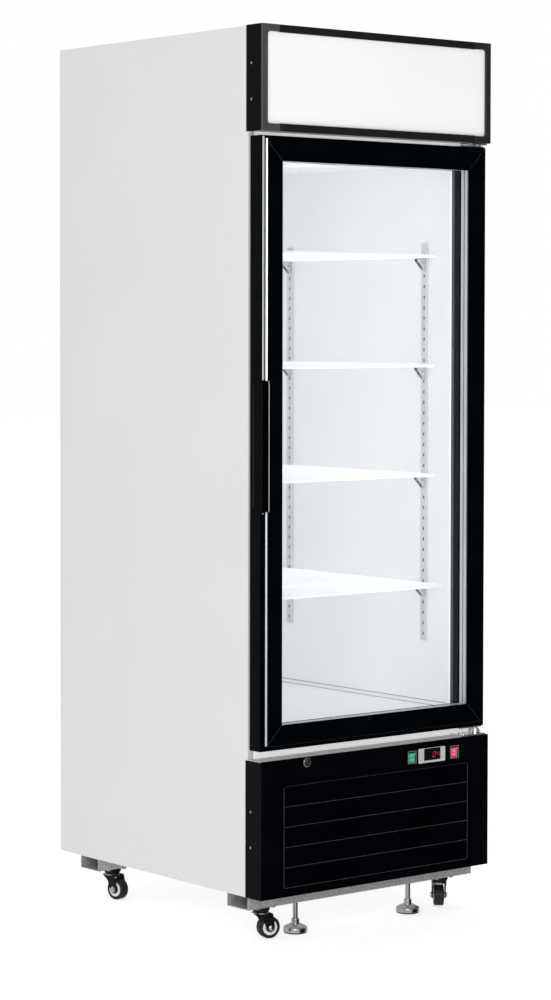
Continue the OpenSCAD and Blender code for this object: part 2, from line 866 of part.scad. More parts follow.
module caster_fork() {
    // Crown plate with a bore for the king pin, two legs, and the fixed axle with its nuts
    leg_in = wheel_w / 2 + 2;
    leg_out = leg_in + fork_t;
    axle_z = wheel_d / 2;
    difference() {
        union() {
            translate([-14, -leg_out, fork_z]) cube([36, 2 * leg_out, 3]);
            translate([0, 0, fork_z]) cylinder(h = 3, r = 17, $fn = 64);
        }
        translate([0, 0, fork_z - 1]) cylinder(h = 6, r = 5 + pin_play, $fn = 48);
    }
    for (side = [-leg_out, leg_in])
        translate([0, side + fork_t, 0]) rotate([90, 0, 0]) linear_extrude(fork_t) {
            polygon([[-12, fork_z + 3], [22, fork_z + 3], [22, fork_z - 8], [trail + 7, axle_z],
                     [trail - 8, axle_z], [-4, fork_z - 10]]);
            translate([trail, axle_z]) circle(r = 8, $fn = 48);
        }
    rod_y(trail, [-leg_out - 2, leg_out + 2], axle_z, axle_r);
    for (side = [-leg_out - 4, leg_out]) rod_y(trail, [side, side + 4], axle_z, 6.4);
}

module caster_wheel() {
    // Tyre with rounded edges on a hub that is recessed at each side
    edge = 4;
    translate([trail, 0, wheel_d / 2]) rotate([90, 0, 0]) difference() {
        rotate_extrude($fn = 72) {
            translate([axle_r + pin_play, -wheel_w / 2])
                square([wheel_d / 2 - axle_r - pin_play - edge, wheel_w]);
            translate([wheel_d / 2 - edge - 1, -wheel_w / 2 + edge])
                square([edge + 1, wheel_w - 2 * edge]);
            for (side = [-1, 1]) translate([wheel_d / 2 - edge, side * (wheel_w / 2 - edge)])
                circle(r = edge, $fn = 32);
        }
        for (side = [-1, 1]) translate([0, 0, side * (wheel_w / 2 + 1)]) difference() {
            cylinder(h = 8, r = wheel_d / 2 - 9, center = true, $fn = 64);
            cylinder(h = 12, r = 7.5, center = true, $fn = 48);
        }
    }
}

module caster_fork_front_left() {
    color("black") at_caster(front_left) caster_fork();
}

module caster_fork_front_right() {
    color("black") at_caster(front_right) caster_fork();
}

module caster_fork_rear_left() {
    color("black") at_caster(rear_left) caster_fork();
}

module caster_fork_rear_right() {
    color("black") at_caster(rear_right) caster_fork();
}

module caster_wheel_front_left() {
    color("dimgray") at_caster(front_left) caster_wheel();
}

module caster_wheel_front_right() {
    color("dimgray") at_caster(front_right) caster_wheel();
}

module caster_wheel_rear_left() {
    color("dimgray") at_caster(rear_left) caster_wheel();
}

module caster_wheel_rear_right() {
    color("dimgray") at_caster(rear_right) caster_wheel();
}

module levelling_foot() {
    // Domed pad with a rubber sole, hexagonal collar and screw
    collar_z = 20;
    rotate_extrude($fn = 72) {
        square([foot_d / 2 - 2, 3]);
        translate([0, 3]) square([foot_d / 2, 10]);
        polygon([[0, 12], [foot_d / 2, 13], [foot_d / 2 - 5, 16.5], [11, 21], [0, 21]]);
    }
    translate([0, 0, collar_z]) cylinder(h = 12, r = 10, $fn = 6);
    translate([0, 0, collar_z]) cylinder(h = body_z - 17 - collar_z, r = foot_r, $fn = 48);
}

module foot_left() {
    color("silver") translate([-foot_x, foot_y, 0]) levelling_foot();
}

module foot_right() {
    color("silver") translate([foot_x, foot_y, 0]) levelling_foot();
}

side_panels();
rear_panel();
rear_grille();
top_panel();
insulation();
inner_liner();
face_frame();
base_rails();
base_pan();
hinge_ledge();
canopy_housing();
canopy_bezel();
sign_lens();
canopy_lamp();
lower_cover();
louvre_panel();
cover_screws();
switch_housings();
thermostat_case();
lock_barrel();
shelf_standards();
shelf_clips();
evaporator_cover();
evaporator_coil();
fan_motors();
compressor();
condenser_coil();
refrigerant_pipes();
drain_pan();
hinge_brackets();
caster_plates();
cable_gland();
door_stiles();
door_rails();
door_glass();
glass_spacers();
door_gasket();
door_handle();
door_hinge_plates();
lock_plug();
green_rocker();
red_rocker();
key_up();
key_down();
shelf_1();
shelf_2();
shelf_3();
shelf_4();
condenser_fan();
evaporator_fan();
caster_fork_front_left();
caster_fork_front_right();
caster_fork_rear_left();
caster_fork_rear_right();
caster_wheel_front_left();
caster_wheel_front_right();
caster_wheel_rear_left();
caster_wheel_rear_right();
foot_left();
foot_right();
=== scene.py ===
"""Looks of an upright display refrigerator with one glass door, built around its CAD frame.

Lengths in this script are millimetres in the row frame: the origin is on the floor under the
middle of the cabinet, +Z is up and the door faces -Y. Meshes are scaled to metres when made.
"""

import json
import math

import bmesh
import bpy
from mathutils import Matrix, Vector


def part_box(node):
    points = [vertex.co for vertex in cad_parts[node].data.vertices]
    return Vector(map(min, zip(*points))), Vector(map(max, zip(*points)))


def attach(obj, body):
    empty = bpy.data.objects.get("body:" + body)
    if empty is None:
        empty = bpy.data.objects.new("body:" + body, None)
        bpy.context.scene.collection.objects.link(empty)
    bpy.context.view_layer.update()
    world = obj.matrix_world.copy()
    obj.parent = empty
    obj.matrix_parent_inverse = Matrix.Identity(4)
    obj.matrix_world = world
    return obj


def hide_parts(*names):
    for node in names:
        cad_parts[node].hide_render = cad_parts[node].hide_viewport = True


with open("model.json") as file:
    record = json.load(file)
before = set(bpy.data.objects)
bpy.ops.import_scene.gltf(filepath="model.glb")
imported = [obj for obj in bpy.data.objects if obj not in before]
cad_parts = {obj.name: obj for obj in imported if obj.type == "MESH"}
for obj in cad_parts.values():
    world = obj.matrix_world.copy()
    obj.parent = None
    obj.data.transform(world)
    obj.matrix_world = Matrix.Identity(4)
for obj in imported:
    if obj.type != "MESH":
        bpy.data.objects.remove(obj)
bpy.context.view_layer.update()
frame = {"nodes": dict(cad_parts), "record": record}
NODES = frame["nodes"]
JOINTS = {joint["name"]: joint for joint in frame["record"]["behaviour"]["joints"]}
MM = 0.001
UP, DOWN, BACK = (0, 0, 1), (0, 0, -1), (0, 1, 0)
scene = bpy.context.scene


class Extent:
    """The box of a CAD node at rest."""

    def __init__(self, node):
        low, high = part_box(node)
        self.x0, self.y0, self.z0 = (v / MM for v in low)
        self.x1, self.y1, self.z1 = (v / MM for v in high)
        self.x, self.y, self.z = ((a / MM + b / MM) / 2 for a, b in zip(low, high))


def show(thing):
    """Puts an object in the scene."""
    scene.collection.objects.link(thing)
    return thing


def joint_place(name):
    """Where a joint's axis passes, in millimetres."""
    return [v / MM for v in JOINTS[name]["pos_m"]]


# ---------------- camera, floor and light


def make_camera():
    """Stands left of the door at a little over half the cabinet's height."""
    camera = show(bpy.data.objects.new("camera", bpy.data.cameras.new("camera")))
    camera.location = (-4.149, -5.088, 1.367)
    yaw, pitch, roll = (math.radians(a) for a in (39.266, -1.901, 0.09))
    turn = Matrix.Rotation(-yaw, 4, "Z") @ Matrix.Rotation(math.pi / 2 + pitch, 4, "X")
    camera.rotation_euler = (turn @ Matrix.Rotation(roll, 4, "Z")).to_euler()
    camera.data.lens = 99.7
    camera.data.shift_y = -0.08
    camera.data.sensor_width = 36
    scene.camera = camera


def make_front_light():
    """A soft box just ahead of the camera, in metres and watts."""
    place, target = Vector((-3.4, -3.9, 2.0)), Vector((0, 0, 1))
    light = show(bpy.data.objects.new("front", bpy.data.lights.new("front", "AREA")))
    light.data.shape = "RECTANGLE"
    light.data.size, light.data.size_y = 3, 3
    light.data.energy = 87
    light.location = place
    light.rotation_euler = (target - place).to_track_quat("-Z", "Y").to_euler()


def node(tree, kind, inputs=None, **settings):
    """A shader node. Each of its inputs is given a constant, or the output that feeds it."""
    made = tree.nodes.new("ShaderNode" + kind)
    for key, value in settings.items():
        setattr(made, key, value)
    feed(tree, made, inputs or {})
    return made


def feed(tree, made, inputs):
    """Sets or links inputs of a node."""
    for socket, value in inputs.items():
        if isinstance(value, bpy.types.NodeSocket):
            tree.links.new(value, made.inputs[socket])
        else:
            made.inputs[socket].default_value = value


def ramp(tree, value, *stops):
    """The colour of a ramp between two stops, each a position and a colour."""
    made = node(tree, "ValToRGB", {"Fac": value})
    for element, (position, colour) in zip(made.color_ramp.elements, stops):
        element.position = position
        element.color = (*colour, 1)
    return made.outputs["Color"]


def make_world():
    """White all round, with a wide dark flag at the front right, which the black front mirrors."""
    world = bpy.data.worlds.new("studio")
    scene.world = world
    world.use_nodes = True
    tree = world.node_tree
    tree.nodes.clear()
    around = node(tree, "TexCoord").outputs["Generated"]
    flag = Vector((0.60, -0.79, -0.05)).normalized()
    towards = node(tree, "VectorMath", {0: around, 1: flag}, operation="DOT_PRODUCT")
    shade = ramp(tree, towards.outputs["Value"], (0.66, (1, 1, 1)), (0.90, (0.012, 0.013, 0.018)))
    lighting = node(tree, "Background", {"Color": shade, "Strength": 0.52})
    backdrop = node(tree, "Background", {"Color": (1, 1, 1, 1), "Strength": 1.0})
    seen = node(tree, "LightPath").outputs["Is Camera Ray"]
    choose = node(tree, "MixShader", {"Fac": seen, 1: lighting.outputs["Background"],
                                      2: backdrop.outputs["Background"]})
    node(tree, "OutputWorld", {"Surface": choose.outputs["Shader"]})


def make_studio():
    """Floor, world and light."""
    scene.view_settings.view_transform = "Standard"
    make_world()
    half = 30
    mesh = bpy.data.meshes.new("floor")
    corners = [(-half, -half, 0), (half, -half, 0), (half, half, 0), (-half, half, 0)]
    mesh.from_pydata(corners, [], [(0, 1, 2, 3)])
    mesh.materials.append(surface("floor_paper", 0.93, 0.95, (0.85, 0.95), 3, specular=0.1,
                                  glow=0.62))
    floor = show(bpy.data.objects.new("floor", mesh))
    floor.visible_glossy = False
    make_front_light()


# ---------------- materials


def surface(name, dark, light, rough, grain, metal=0.0, stretch=(1, 1, 1), bump=0.0,
            fine=600, specular=0.5, coat=0.0, glow=0.0, cells=False):
    """Principled material that drifts between two colours or greys, with uneven roughness and
    a bump. grain and fine are the features per metre of the two, and cells gives a zinc
    spangle."""
    material = bpy.data.materials.new(name)
    material.use_nodes = True
    tree = material.node_tree
    place = node(tree, "TexCoord").outputs["Object"]
    place = node(tree, "Mapping", {"Vector": place, "Scale": stretch}).outputs["Vector"]
    if cells:
        value = node(tree, "TexVoronoi", {"Vector": place, "Scale": grain}).outputs["Color"]
    else:
        noise = node(tree, "TexNoise", {"Vector": place, "Scale": grain, "Detail": 3})
        value = noise.outputs["Fac"]
    low, high = 0.3, 0.7
    dark, light = ((c, c, c) if isinstance(c, float) else c for c in (dark, light))
    colour = ramp(tree, value, (low, dark), (high, light))
    spread = node(tree, "MapRange", {"Value": value, "From Min": low, "From Max": high,
                                     "To Min": rough[0], "To Max": rough[1]})
    looks = {"Base Color": colour, "Roughness": spread.outputs["Result"], "Metallic": metal,
             "Specular IOR Level": specular, "Coat Weight": coat, "Coat Roughness": 0.08}
    if bump:
        pores = node(tree, "TexNoise", {"Vector": place, "Scale": fine, "Detail": 2})
        raised = node(tree, "Bump", {"Strength": bump, "Distance": 0.0004,
                                     "Height": pores.outputs["Fac"]})
        looks["Normal"] = raised.outputs["Normal"]
    if glow:
        looks.update({"Emission Color": colour, "Emission Strength": glow})
    feed(tree, tree.nodes["Principled BSDF"], looks)
    return material


def clear_glass():
    """Flat glass that shows what is behind it unbent, with a weak mirror on top."""
    material = bpy.data.materials.new("clear_glass")
    material.use_nodes = True
    tree = material.node_tree
    tree.nodes.clear()
    clear = node(tree, "BsdfTransparent", {"Color": (0.980, 0.986, 0.988, 1)})
    mirror = node(tree, "BsdfGlossy", {"Roughness": 0.03, "Color": (0.9, 0.95, 1.0, 1)})
    facing = node(tree, "Fresnel", {"IOR": 1.45})
    share = node(tree, "Math", {0: facing.outputs["Fac"], 1: 0.015}, operation="MULTIPLY")
    mix = node(tree, "MixShader", {"Fac": share.outputs["Value"], 1: clear.outputs["BSDF"],
                                   2: mirror.outputs["BSDF"]})
    node(tree, "OutputMaterial", {"Surface": mix.outputs["Shader"]})
    return material


def make_materials():
    """One material for each slot of the record, and a few for details."""
    m = {}

    def add(name, dark, light, rough, grain, **look):
        m[name] = surface(name, dark, light, rough, grain, **look)

    add("cabinet_white", 0.735, 0.75, (0.38, 0.46), 5, bump=0.06, fine=420, specular=0.35)
    add("galvanised", (0.48, 0.49, 0.49), (0.66, 0.67, 0.67), (0.36, 0.50), 320, metal=0.5,
        bump=0.10, fine=500, cells=True)
    add("foam", (0.74, 0.66, 0.42), (0.82, 0.75, 0.52), (0.9, 1.0), 40, bump=0.6)
    # The liner glows a little: painted light that brightens the inside evenly in place of lamps.
    add("liner_white", (0.81, 0.82, 0.83), (0.83, 0.84, 0.85), (0.32, 0.40), 5, bump=0.05,
        fine=380, specular=0.35, glow=0.19)
    # The face frame's trim and the hinge ledge glow: painted light that lifts them out of the shade
    # in the gap under the door.
    add("trim_white", 0.88, 0.91, (0.3, 0.38), 8, bump=0.04, glow=0.45)
    add("ledge_grey", 0.34, 0.56, (0.35, 0.5), 30, stretch=(0.3, 4, 4), bump=0.08, glow=0.12)
    add("cover_black", (0.0006, 0.0011, 0.0020), (0.0012, 0.0018, 0.0030), (0.16, 0.24), 7,
        bump=0.03, fine=500, specular=0.08)
    add("bezel_dark", (0.010, 0.010, 0.011), (0.014, 0.014, 0.015), (0.3, 0.42), 30, bump=0.08,
        fine=900, specular=0.35)
    # The bezel's two ends are one black part: the left end is painted lighter and the right end
    # darker, as painted light and painted shade.
    add("corner_painted_lit_grey", (0.055, 0.057, 0.061), (0.068, 0.070, 0.075), (0.4, 0.5), 30, bump=0.1,
        fine=900, specular=0.4)
    add("corner_painted_shade_dark", (0.018, 0.018, 0.019), (0.024, 0.024, 0.025), (0.35, 0.45), 30, bump=0.1,
        fine=900, specular=0.4)
    add("sign_white", (0.90, 0.905, 0.885), (0.93, 0.935, 0.915), (0.18, 0.26), 3, specular=0.3,
        glow=0.08)
    add("lamp_white", 0.88, 0.92, (0.3, 0.4), 10, glow=0.4)
    add("louvre_black", (0.0003, 0.0005, 0.0014), (0.0006, 0.0009, 0.0022), (0.2, 0.3), 9,
        bump=0.04, fine=500, specular=0.12)
    add("screw_zinc", 0.52, 0.68, (0.22, 0.34), 300, metal=0.95, bump=0.05)
    add("switch_black", 0.012, 0.018, (0.3, 0.4), 60, bump=0.08, fine=1500)
    add("control_grey", 0.52, 0.58, (0.4, 0.5), 40, bump=0.06, fine=1500)
    add("key_grey", 0.56, 0.62, (0.45, 0.55), 60, bump=0.06, fine=1500)
    add("lock_chrome", 0.68, 0.80, (0.07, 0.14), 200, metal=1.0)
    add("zinc", (0.60, 0.61, 0.63), (0.74, 0.75, 0.77), (0.24, 0.36), 60, metal=0.9,
        stretch=(1, 1, 0.15), bump=0.05)
    add("fin", 0.62, 0.72, (0.35, 0.5), 50, metal=0.9, bump=0.1)
    add("motor_grey", 0.10, 0.14, (0.4, 0.5), 40, bump=0.1)
    add("compressor_black", 0.012, 0.020, (0.3, 0.42), 20, bump=0.15, fine=300)
    add("copper", (0.62, 0.30, 0.17), (0.72, 0.40, 0.26), (0.25, 0.4), 50, metal=1.0, bump=0.05)
    add("pan_grey", 0.20, 0.24, (0.5, 0.6), 30, bump=0.1)
    add("caster_black", 0.004, 0.007, (0.28, 0.4), 60, bump=0.08, fine=700, specular=0.2)
    add("rubber_black", 0.012, 0.02, (0.6, 0.75), 60, bump=0.15, fine=900)
    add("door_black", (0.0004, 0.0012, 0.0018), (0.0010, 0.0022, 0.0030), (0.12, 0.19), 8,
        bump=0.025, fine=260, specular=0.05)
    add("spacer", (0.56, 0.56, 0.57), (0.68, 0.68, 0.69), (0.3, 0.45), 30, metal=0.5,
        stretch=(1, 1, 0.2), bump=0.05)
    add("gasket_black", 0.002, 0.005, (0.55, 0.7), 40, bump=0.1, fine=900, specular=0.2)
    add("handle_black", 0.0004, 0.0010, (0.16, 0.24), 20, bump=0.04, fine=700, specular=0.05)
    add("green_lens", (0.0, 0.16, 0.08), (0.06, 0.46, 0.28), (0.12, 0.2), 260, coat=0.3, glow=0.35)
    add("red_lens", (0.42, 0.02, 0.06), (0.80, 0.16, 0.24), (0.12, 0.2), 260, coat=0.3, glow=0.35)
    # The shelves, fan guard and mouth trim edge glow in this white: painted light that keeps them
    # bright inside the cabinet.
    add("shelf_white", (0.90, 0.91, 0.92), (0.94, 0.95, 0.96), (0.2, 0.3), 12, bump=0.05, fine=700,
        glow=0.34)
    add("fan_black", 0.018, 0.028, (0.4, 0.5), 40, bump=0.08)
    add("tyre_black", 0.008, 0.013, (0.42, 0.55), 60, bump=0.12, fine=900, specular=0.3)
    add("foot_steel", (0.56, 0.57, 0.55), (0.74, 0.75, 0.73), (0.14, 0.24), 70, metal=1.0,
        bump=0.03)
    add("hub_white", 0.74, 0.80, (0.25, 0.35), 60, bump=0.04)
    # Metal strips whose light tones and glow are painted highlights; the bright, soft and dim
    # copies stand for how strongly each stretch catches light.
    add("edge_painted_highlight", 0.84, 0.92, (0.14, 0.22), 20, metal=0.55, stretch=(1, 1, 0.1), glow=0.12)
    add("edge_painted_soft_highlight", 0.52, 0.60, (0.2, 0.3), 20, metal=0.4, stretch=(1, 1, 0.1), glow=0.1)
    add("edge_grey", 0.36, 0.44, (0.18, 0.28), 20, metal=0.7, stretch=(1, 1, 0.1))
    # Thin grey lines on black parts: painted highlights on edges.
    add("painted_highlight_grey", 0.05, 0.09, (0.3, 0.4), 60)
    add("trim_dark", 0.09, 0.12, (0.35, 0.45), 30, bump=0.05, specular=0.3)
    add("mark_white", 0.80, 0.86, (0.4, 0.5), 100)
    add("standard_grey", (0.68, 0.69, 0.71), (0.76, 0.77, 0.79), (0.3, 0.42), 60, metal=0.2,
        stretch=(1, 1, 0.15), bump=0.05)
    add("painted_shade_dark", 0.045, 0.06, (0.5, 0.6), 60)
    # Grey for printed marks and rims, and for painted shade in grooves and screw recesses.
    add("mark_and_shade_grey", 0.22, 0.28, (0.4, 0.5), 100)
    add("window_black", (0.004, 0.003, 0.003), (0.010, 0.007, 0.007), (0.08, 0.14), 60,
        specular=0.3)
    add("digit_red", (0.42, 0.01, 0.03), (0.62, 0.03, 0.07), (0.3, 0.4), 200, glow=0.6)
    m["clear_glass"] = clear_glass()
    return m


# ---------------- mesh building

AXES = {
    "x": Matrix(((0, 0, 1), (1, 0, 0), (0, 1, 0))),
    "y": Matrix(((1, 0, 0), (0, 0, -1), (0, 1, 0))),
    "z": Matrix.Identity(3),
}


def arc(centre, radius, start, end, steps=6):
    """Points on an arc, with angles in degrees."""
    angles = (math.radians(start + (end - start) * i / steps) for i in range(steps + 1))
    return [(centre[0] + radius * math.cos(a), centre[1] + radius * math.sin(a)) for a in angles]


def rounded(low, high, radius, steps=5):
    """Outline of a rectangle with round corners, anticlockwise."""
    (u0, v0), (u1, v1), r = low, high, radius
    return (arc((u1 - r, v0 + r), r, -90, 0, steps) + arc((u1 - r, v1 - r), r, 0, 90, steps)
            + arc((u0 + r, v1 - r), r, 90, 180, steps) + arc((u0 + r, v0 + r), r, 180, 270, steps))


def fillet(points, radius, steps=6):
    """A path in space with each inner corner turned into a bend."""
    points = [Vector(p) for p in points]
    path = [points[0]]
    for before, corner, after in zip(points, points[1:], points[2:]):
        a, b = (before - corner).normalized(), (after - corner).normalized()
        reach = min(radius, (before - corner).length / 2, (after - corner).length / 2)
        start, end = corner + a * reach, corner + b * reach
        for i in range(steps + 1):
            t = i / steps
            path.append(start * (1 - t) ** 2 + corner * 2 * t * (1 - t) + end * t ** 2)
    return path + [points[-1]]


class Build:
    """Collects solids into one mesh."""

    def __init__(self):
        self.bm = bmesh.new()
        self.index = 0

    def use(self, index):
        """The solids that follow take this material of the piece."""
        self.index = index
        return self

    def _faces(self, points, faces):
        verts = [self.bm.verts.new(p) for p in points]
        for face in faces:
            made = self.bm.faces.new([verts[i] for i in face])
            made.material_index = self.index
        return verts

    def sheet(self, corners):
        """A single flat face."""
        self._faces(corners, [range(len(corners))])
        return self

    def box(self, low, high, bevel=0.5, steps=2):
        """A block between two corners with rounded edges."""
        x, y, z = zip(low, high)
        points = [(a, b, c) for a in x for b in y for c in z]
        faces = [(0, 1, 3, 2), (4, 6, 7, 5), (0, 4, 5, 1), (2, 3, 7, 6), (0, 2, 6, 4), (1, 5, 7, 3)]
        verts = self._faces(points, faces)
        edges = {e for v in verts for e in v.link_edges}
        made = bmesh.ops.bevel(self.bm, geom=list(edges), offset=bevel, segments=steps,
                               affect="EDGES", profile=0.5)
        for face in made["faces"]:
            face.material_index = self.index
        return self

    def sweep(self, rings, closed_path=False, closed_ring=True, caps=True):
        """Skin between rings of equally many points."""
        verts = [[self.bm.verts.new(p) for p in ring] for ring in rings]
        count = len(rings[0])
        last = len(rings) if closed_path else len(rings) - 1
        for i in range(last):
            a, b = verts[i], verts[(i + 1) % len(rings)]
            for j in range(count if closed_ring else count - 1):
                k = (j + 1) % count
                self.bm.faces.new((a[j], a[k], b[k], b[j])).material_index = self.index
        if caps and not closed_path:
            self.bm.faces.new(verts[0]).material_index = self.index
            self.bm.faces.new(verts[-1]).material_index = self.index
        return self

    def lathe(self, profile, origin, axis, sides=40):
        """Turns a profile of (distance along, radius) about the axis. A profile that comes back
        to its start makes a ring with a bore, and a radius of 0 closes an end."""
        axis = Vector(axis).normalized()
        side = axis.orthogonal().normalized()
        up = axis.cross(side)
        origin = Vector(origin)
        looped = profile[0] == profile[-1]
        pinhole = 0.001
        rings = []
        for i in range(sides):
            angle = 2 * math.pi * i / sides
            out = side * math.cos(angle) + up * math.sin(angle)
            rings.append([origin + axis * d + out * max(r, pinhole)
                          for d, r in profile[:-1 if looped else None]])
        return self.sweep(rings, closed_path=True, closed_ring=looped, caps=False)

    def rod(self, start, end, radius, sides=20, edge=0.4):
        """A round bar with broken edges."""
        start, end = Vector(start), Vector(end)
        length = (end - start).length
        edge = min(edge, radius / 2, length / 3)
        profile = [(0, 0), (0, radius - edge), (edge, radius), (length - edge, radius),
                   (length, radius - edge), (length, 0)]
        return self.lathe(profile, start, end - start, sides)

    def tube(self, points, radius, sides=14):
        """A round bar along a path."""
        points = [Vector(p) for p in points]
        rings = []
        side = None
        for i, point in enumerate(points):
            ahead = points[min(i + 1, len(points) - 1)] - points[max(i - 1, 0)]
            along = ahead.normalized()
            side = along.orthogonal() if side is None else side - along * side.dot(along)
            side.normalize()
            up = along.cross(side)
            rings.append([point + (side * math.cos(a) + up * math.sin(a)) * radius
                          for a in (2 * math.pi * j / sides for j in range(sides))])
        return self.sweep(rings)

    def ring(self, profile, half, z):
        """A mitred frame in the XZ plane round the rectangle -half..half by z. The profile's
        points are (distance outwards, y)."""
        rings = [[(sx * (half + d), y, z[1] + d if sz > 0 else z[0] - d) for d, y in profile]
                 for sx, sz in ((1, 1), (-1, 1), (-1, -1), (1, -1))]
        return self.sweep(rings, closed_path=True, caps=False)

    def plate(self, outlines, axis, low, high, bevel=0.4, steps=2, turn=None):
        """A flat plate with rounded edges, from low to high along the axis. The first outline is
        its edge and the others are holes; their points are the other two axes, in order."""
        curve = bpy.data.curves.new("plate", "CURVE")
        curve.dimensions = "2D"
        curve.fill_mode = "BOTH"
        curve.resolution_u = 1
        curve.extrude = (high - low) / 2 - bevel
        curve.bevel_depth = bevel
        curve.bevel_resolution = steps - 1
        curve.offset = -bevel
        for outline in outlines:
            spline = curve.splines.new("POLY")
            spline.points.add(len(outline) - 1)
            for point, (u, v) in zip(spline.points, outline):
                point.co = (u, v, 0, 1)
            spline.use_cyclic_u = True
        holder = show(bpy.data.objects.new("plate", curve))
        bpy.context.view_layer.update()
        mesh = bpy.data.meshes.new_from_object(holder)
        bpy.data.objects.remove(holder)
        place = Matrix.Translation(AXES[axis] @ Vector((0, 0, -1 if axis == "y" else 1))
                                   * (low + high) / 2) @ AXES[axis].to_4x4()
        mesh.transform((turn or Matrix.Identity(4)) @ place)
        part = bmesh.new()
        part.from_mesh(mesh)
        bmesh.ops.remove_doubles(part, verts=part.verts, dist=0.001)
        for face in part.faces:
            face.material_index = self.index
        part.to_mesh(mesh)
        part.free()
        self.bm.from_mesh(mesh)
        bpy.data.meshes.remove(mesh)
        return self

    def move(self, matrix):
        """Turns or shifts everything made so far."""
        self.bm.transform(matrix)
        return self

    def piece(self, name, body, slot, materials=None, replaces=(), smooth=35):
        """Makes the object, with its material, body and slot."""
        bmesh.ops.recalc_face_normals(self.bm, faces=self.bm.faces)
        self.bm.transform(Matrix.Scale(MM, 4))
        mesh = bpy.data.meshes.new(name)
        self.bm.to_mesh(mesh)
        self.bm.free()
        for polygon in mesh.polygons:
            polygon.use_smooth = True
        mesh.set_sharp_from_angle(angle=math.radians(smooth))
        for key in materials or [slot]:
            mesh.materials.append(LOOKS[key])
        made = show(bpy.data.objects.new(name, mesh))
        made.modifiers.new("weighted", "WEIGHTED_NORMAL").keep_sharp = True
        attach(made, body)
        if replaces:
            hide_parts(*replaces)
        return made


def finish_cad_nodes():
    """Gives every CAD node its slot's material, and those that show a broken edge."""
    edges = {
        0.25: ["lock_plug"], 0.3: ["rear_panel", "rear_grille", "top_panel"],
        0.4: ["base_pan", "evaporator_cover", "hinge_brackets", "door_hinge_plates",
              "condenser_fan", "evaporator_fan"],
        0.45: ["side_panels"],
        0.5: ["base_rails", "hinge_ledge", "door_stiles", "door_rails", "green_rocker",
              "red_rocker"],
        0.6: ["face_frame", "canopy_housing", "compressor"], 0.7: ["lower_cover"],
        0.8: ["fan_motors", "drain_pan", "key_up", "key_down"], 1.0: ["canopy_lamp"],
    }
    for part in frame["record"]["subparts"]:
        for holder in NODES[part["node"]].material_slots:
            holder.material = LOOKS[part["material_slot"]]
    for name, width in ((name, width) for width, names in edges.items() for name in names):
        modifiers = NODES[name].modifiers
        modifiers.new("weld", "WELD").merge_threshold = 0.00001
        flat = modifiers.new("flat", "DECIMATE")
        flat.decimate_type = "DISSOLVE"
        flat.angle_limit = math.radians(0.5)
        bevel = modifiers.new("edge", "BEVEL")
        bevel.width = width * MM
        bevel.segments = 2
        bevel.limit_method = "ANGLE"
        bevel.angle_limit = math.radians(40)
        bevel.harden_normals = True


# ---------------- canopy


def make_canopy():
    """The bezel's grooved bars and C-shaped ends, and the sign with round corners."""
    bezel = Extent("canopy_bezel")
    sign = Extent("sign_lens")
    border, end, fillet_r = 16, 50, 7
    inner = (bezel.z0 + border, bezel.z1 - border)
    bars = Build()
    for z in ((bezel.z0, inner[0] + 1), (inner[1] - 1, bezel.z1)):
        bars.box((bezel.x0 + end, bezel.y0 + 0.5, z[0]), (bezel.x1 - end, bezel.y1, z[1]), 1.2)
        for groove in (0.35, 0.65):
            level = z[0] + (z[1] - z[0]) * groove
            bars.box((bezel.x0 + end, bezel.y0 + 0.3, level - 0.5),
                     (bezel.x1 - end, bezel.y0 + 1, level + 0.5), 0.2)
    bars.piece("canopy_bars", "root", "bezel_dark", replaces=["canopy_bezel"])
    # Left end takes the painted lit grey, right end the painted shade.
    for side, name, look in ((-1, "left", "corner_painted_lit_grey"), (1, "right", "corner_painted_shade_dark")):
        outer_x, fillet_x, end_x = bezel.x1 - 2, bezel.x1 - border - fillet_r, bezel.x1 - end
        outline = [(end_x, bezel.z0)] + arc((outer_x, bezel.z0 + 2), 2, -90, 0)
        outline += arc((outer_x, bezel.z1 - 2), 2, 0, 90) + [(end_x, bezel.z1), (end_x, inner[1])]
        outline += arc((fillet_x, inner[1] - fillet_r), fillet_r, 90, 0)
        outline += arc((fillet_x, inner[0] + fillet_r), fillet_r, 0, -90)
        outline += [(end_x, inner[0])]
        outline = [(side * u, v) for u, v in outline]
        corner = Build().plate([outline[::side]], "y", bezel.y0, bezel.y1, bevel=1.4, steps=3)
        corner.piece("canopy_corner_" + name, "root", "bezel_dark", [look])
    face = Build().plate([rounded((sign.x0, sign.z0), (sign.x1, sign.z1), 5)], "y",
                         sign.y0, sign.y1, bevel=0.8)
    face.piece("sign_face", "root", "sign_white", replaces=["sign_lens"])


# ---------------- lower cover


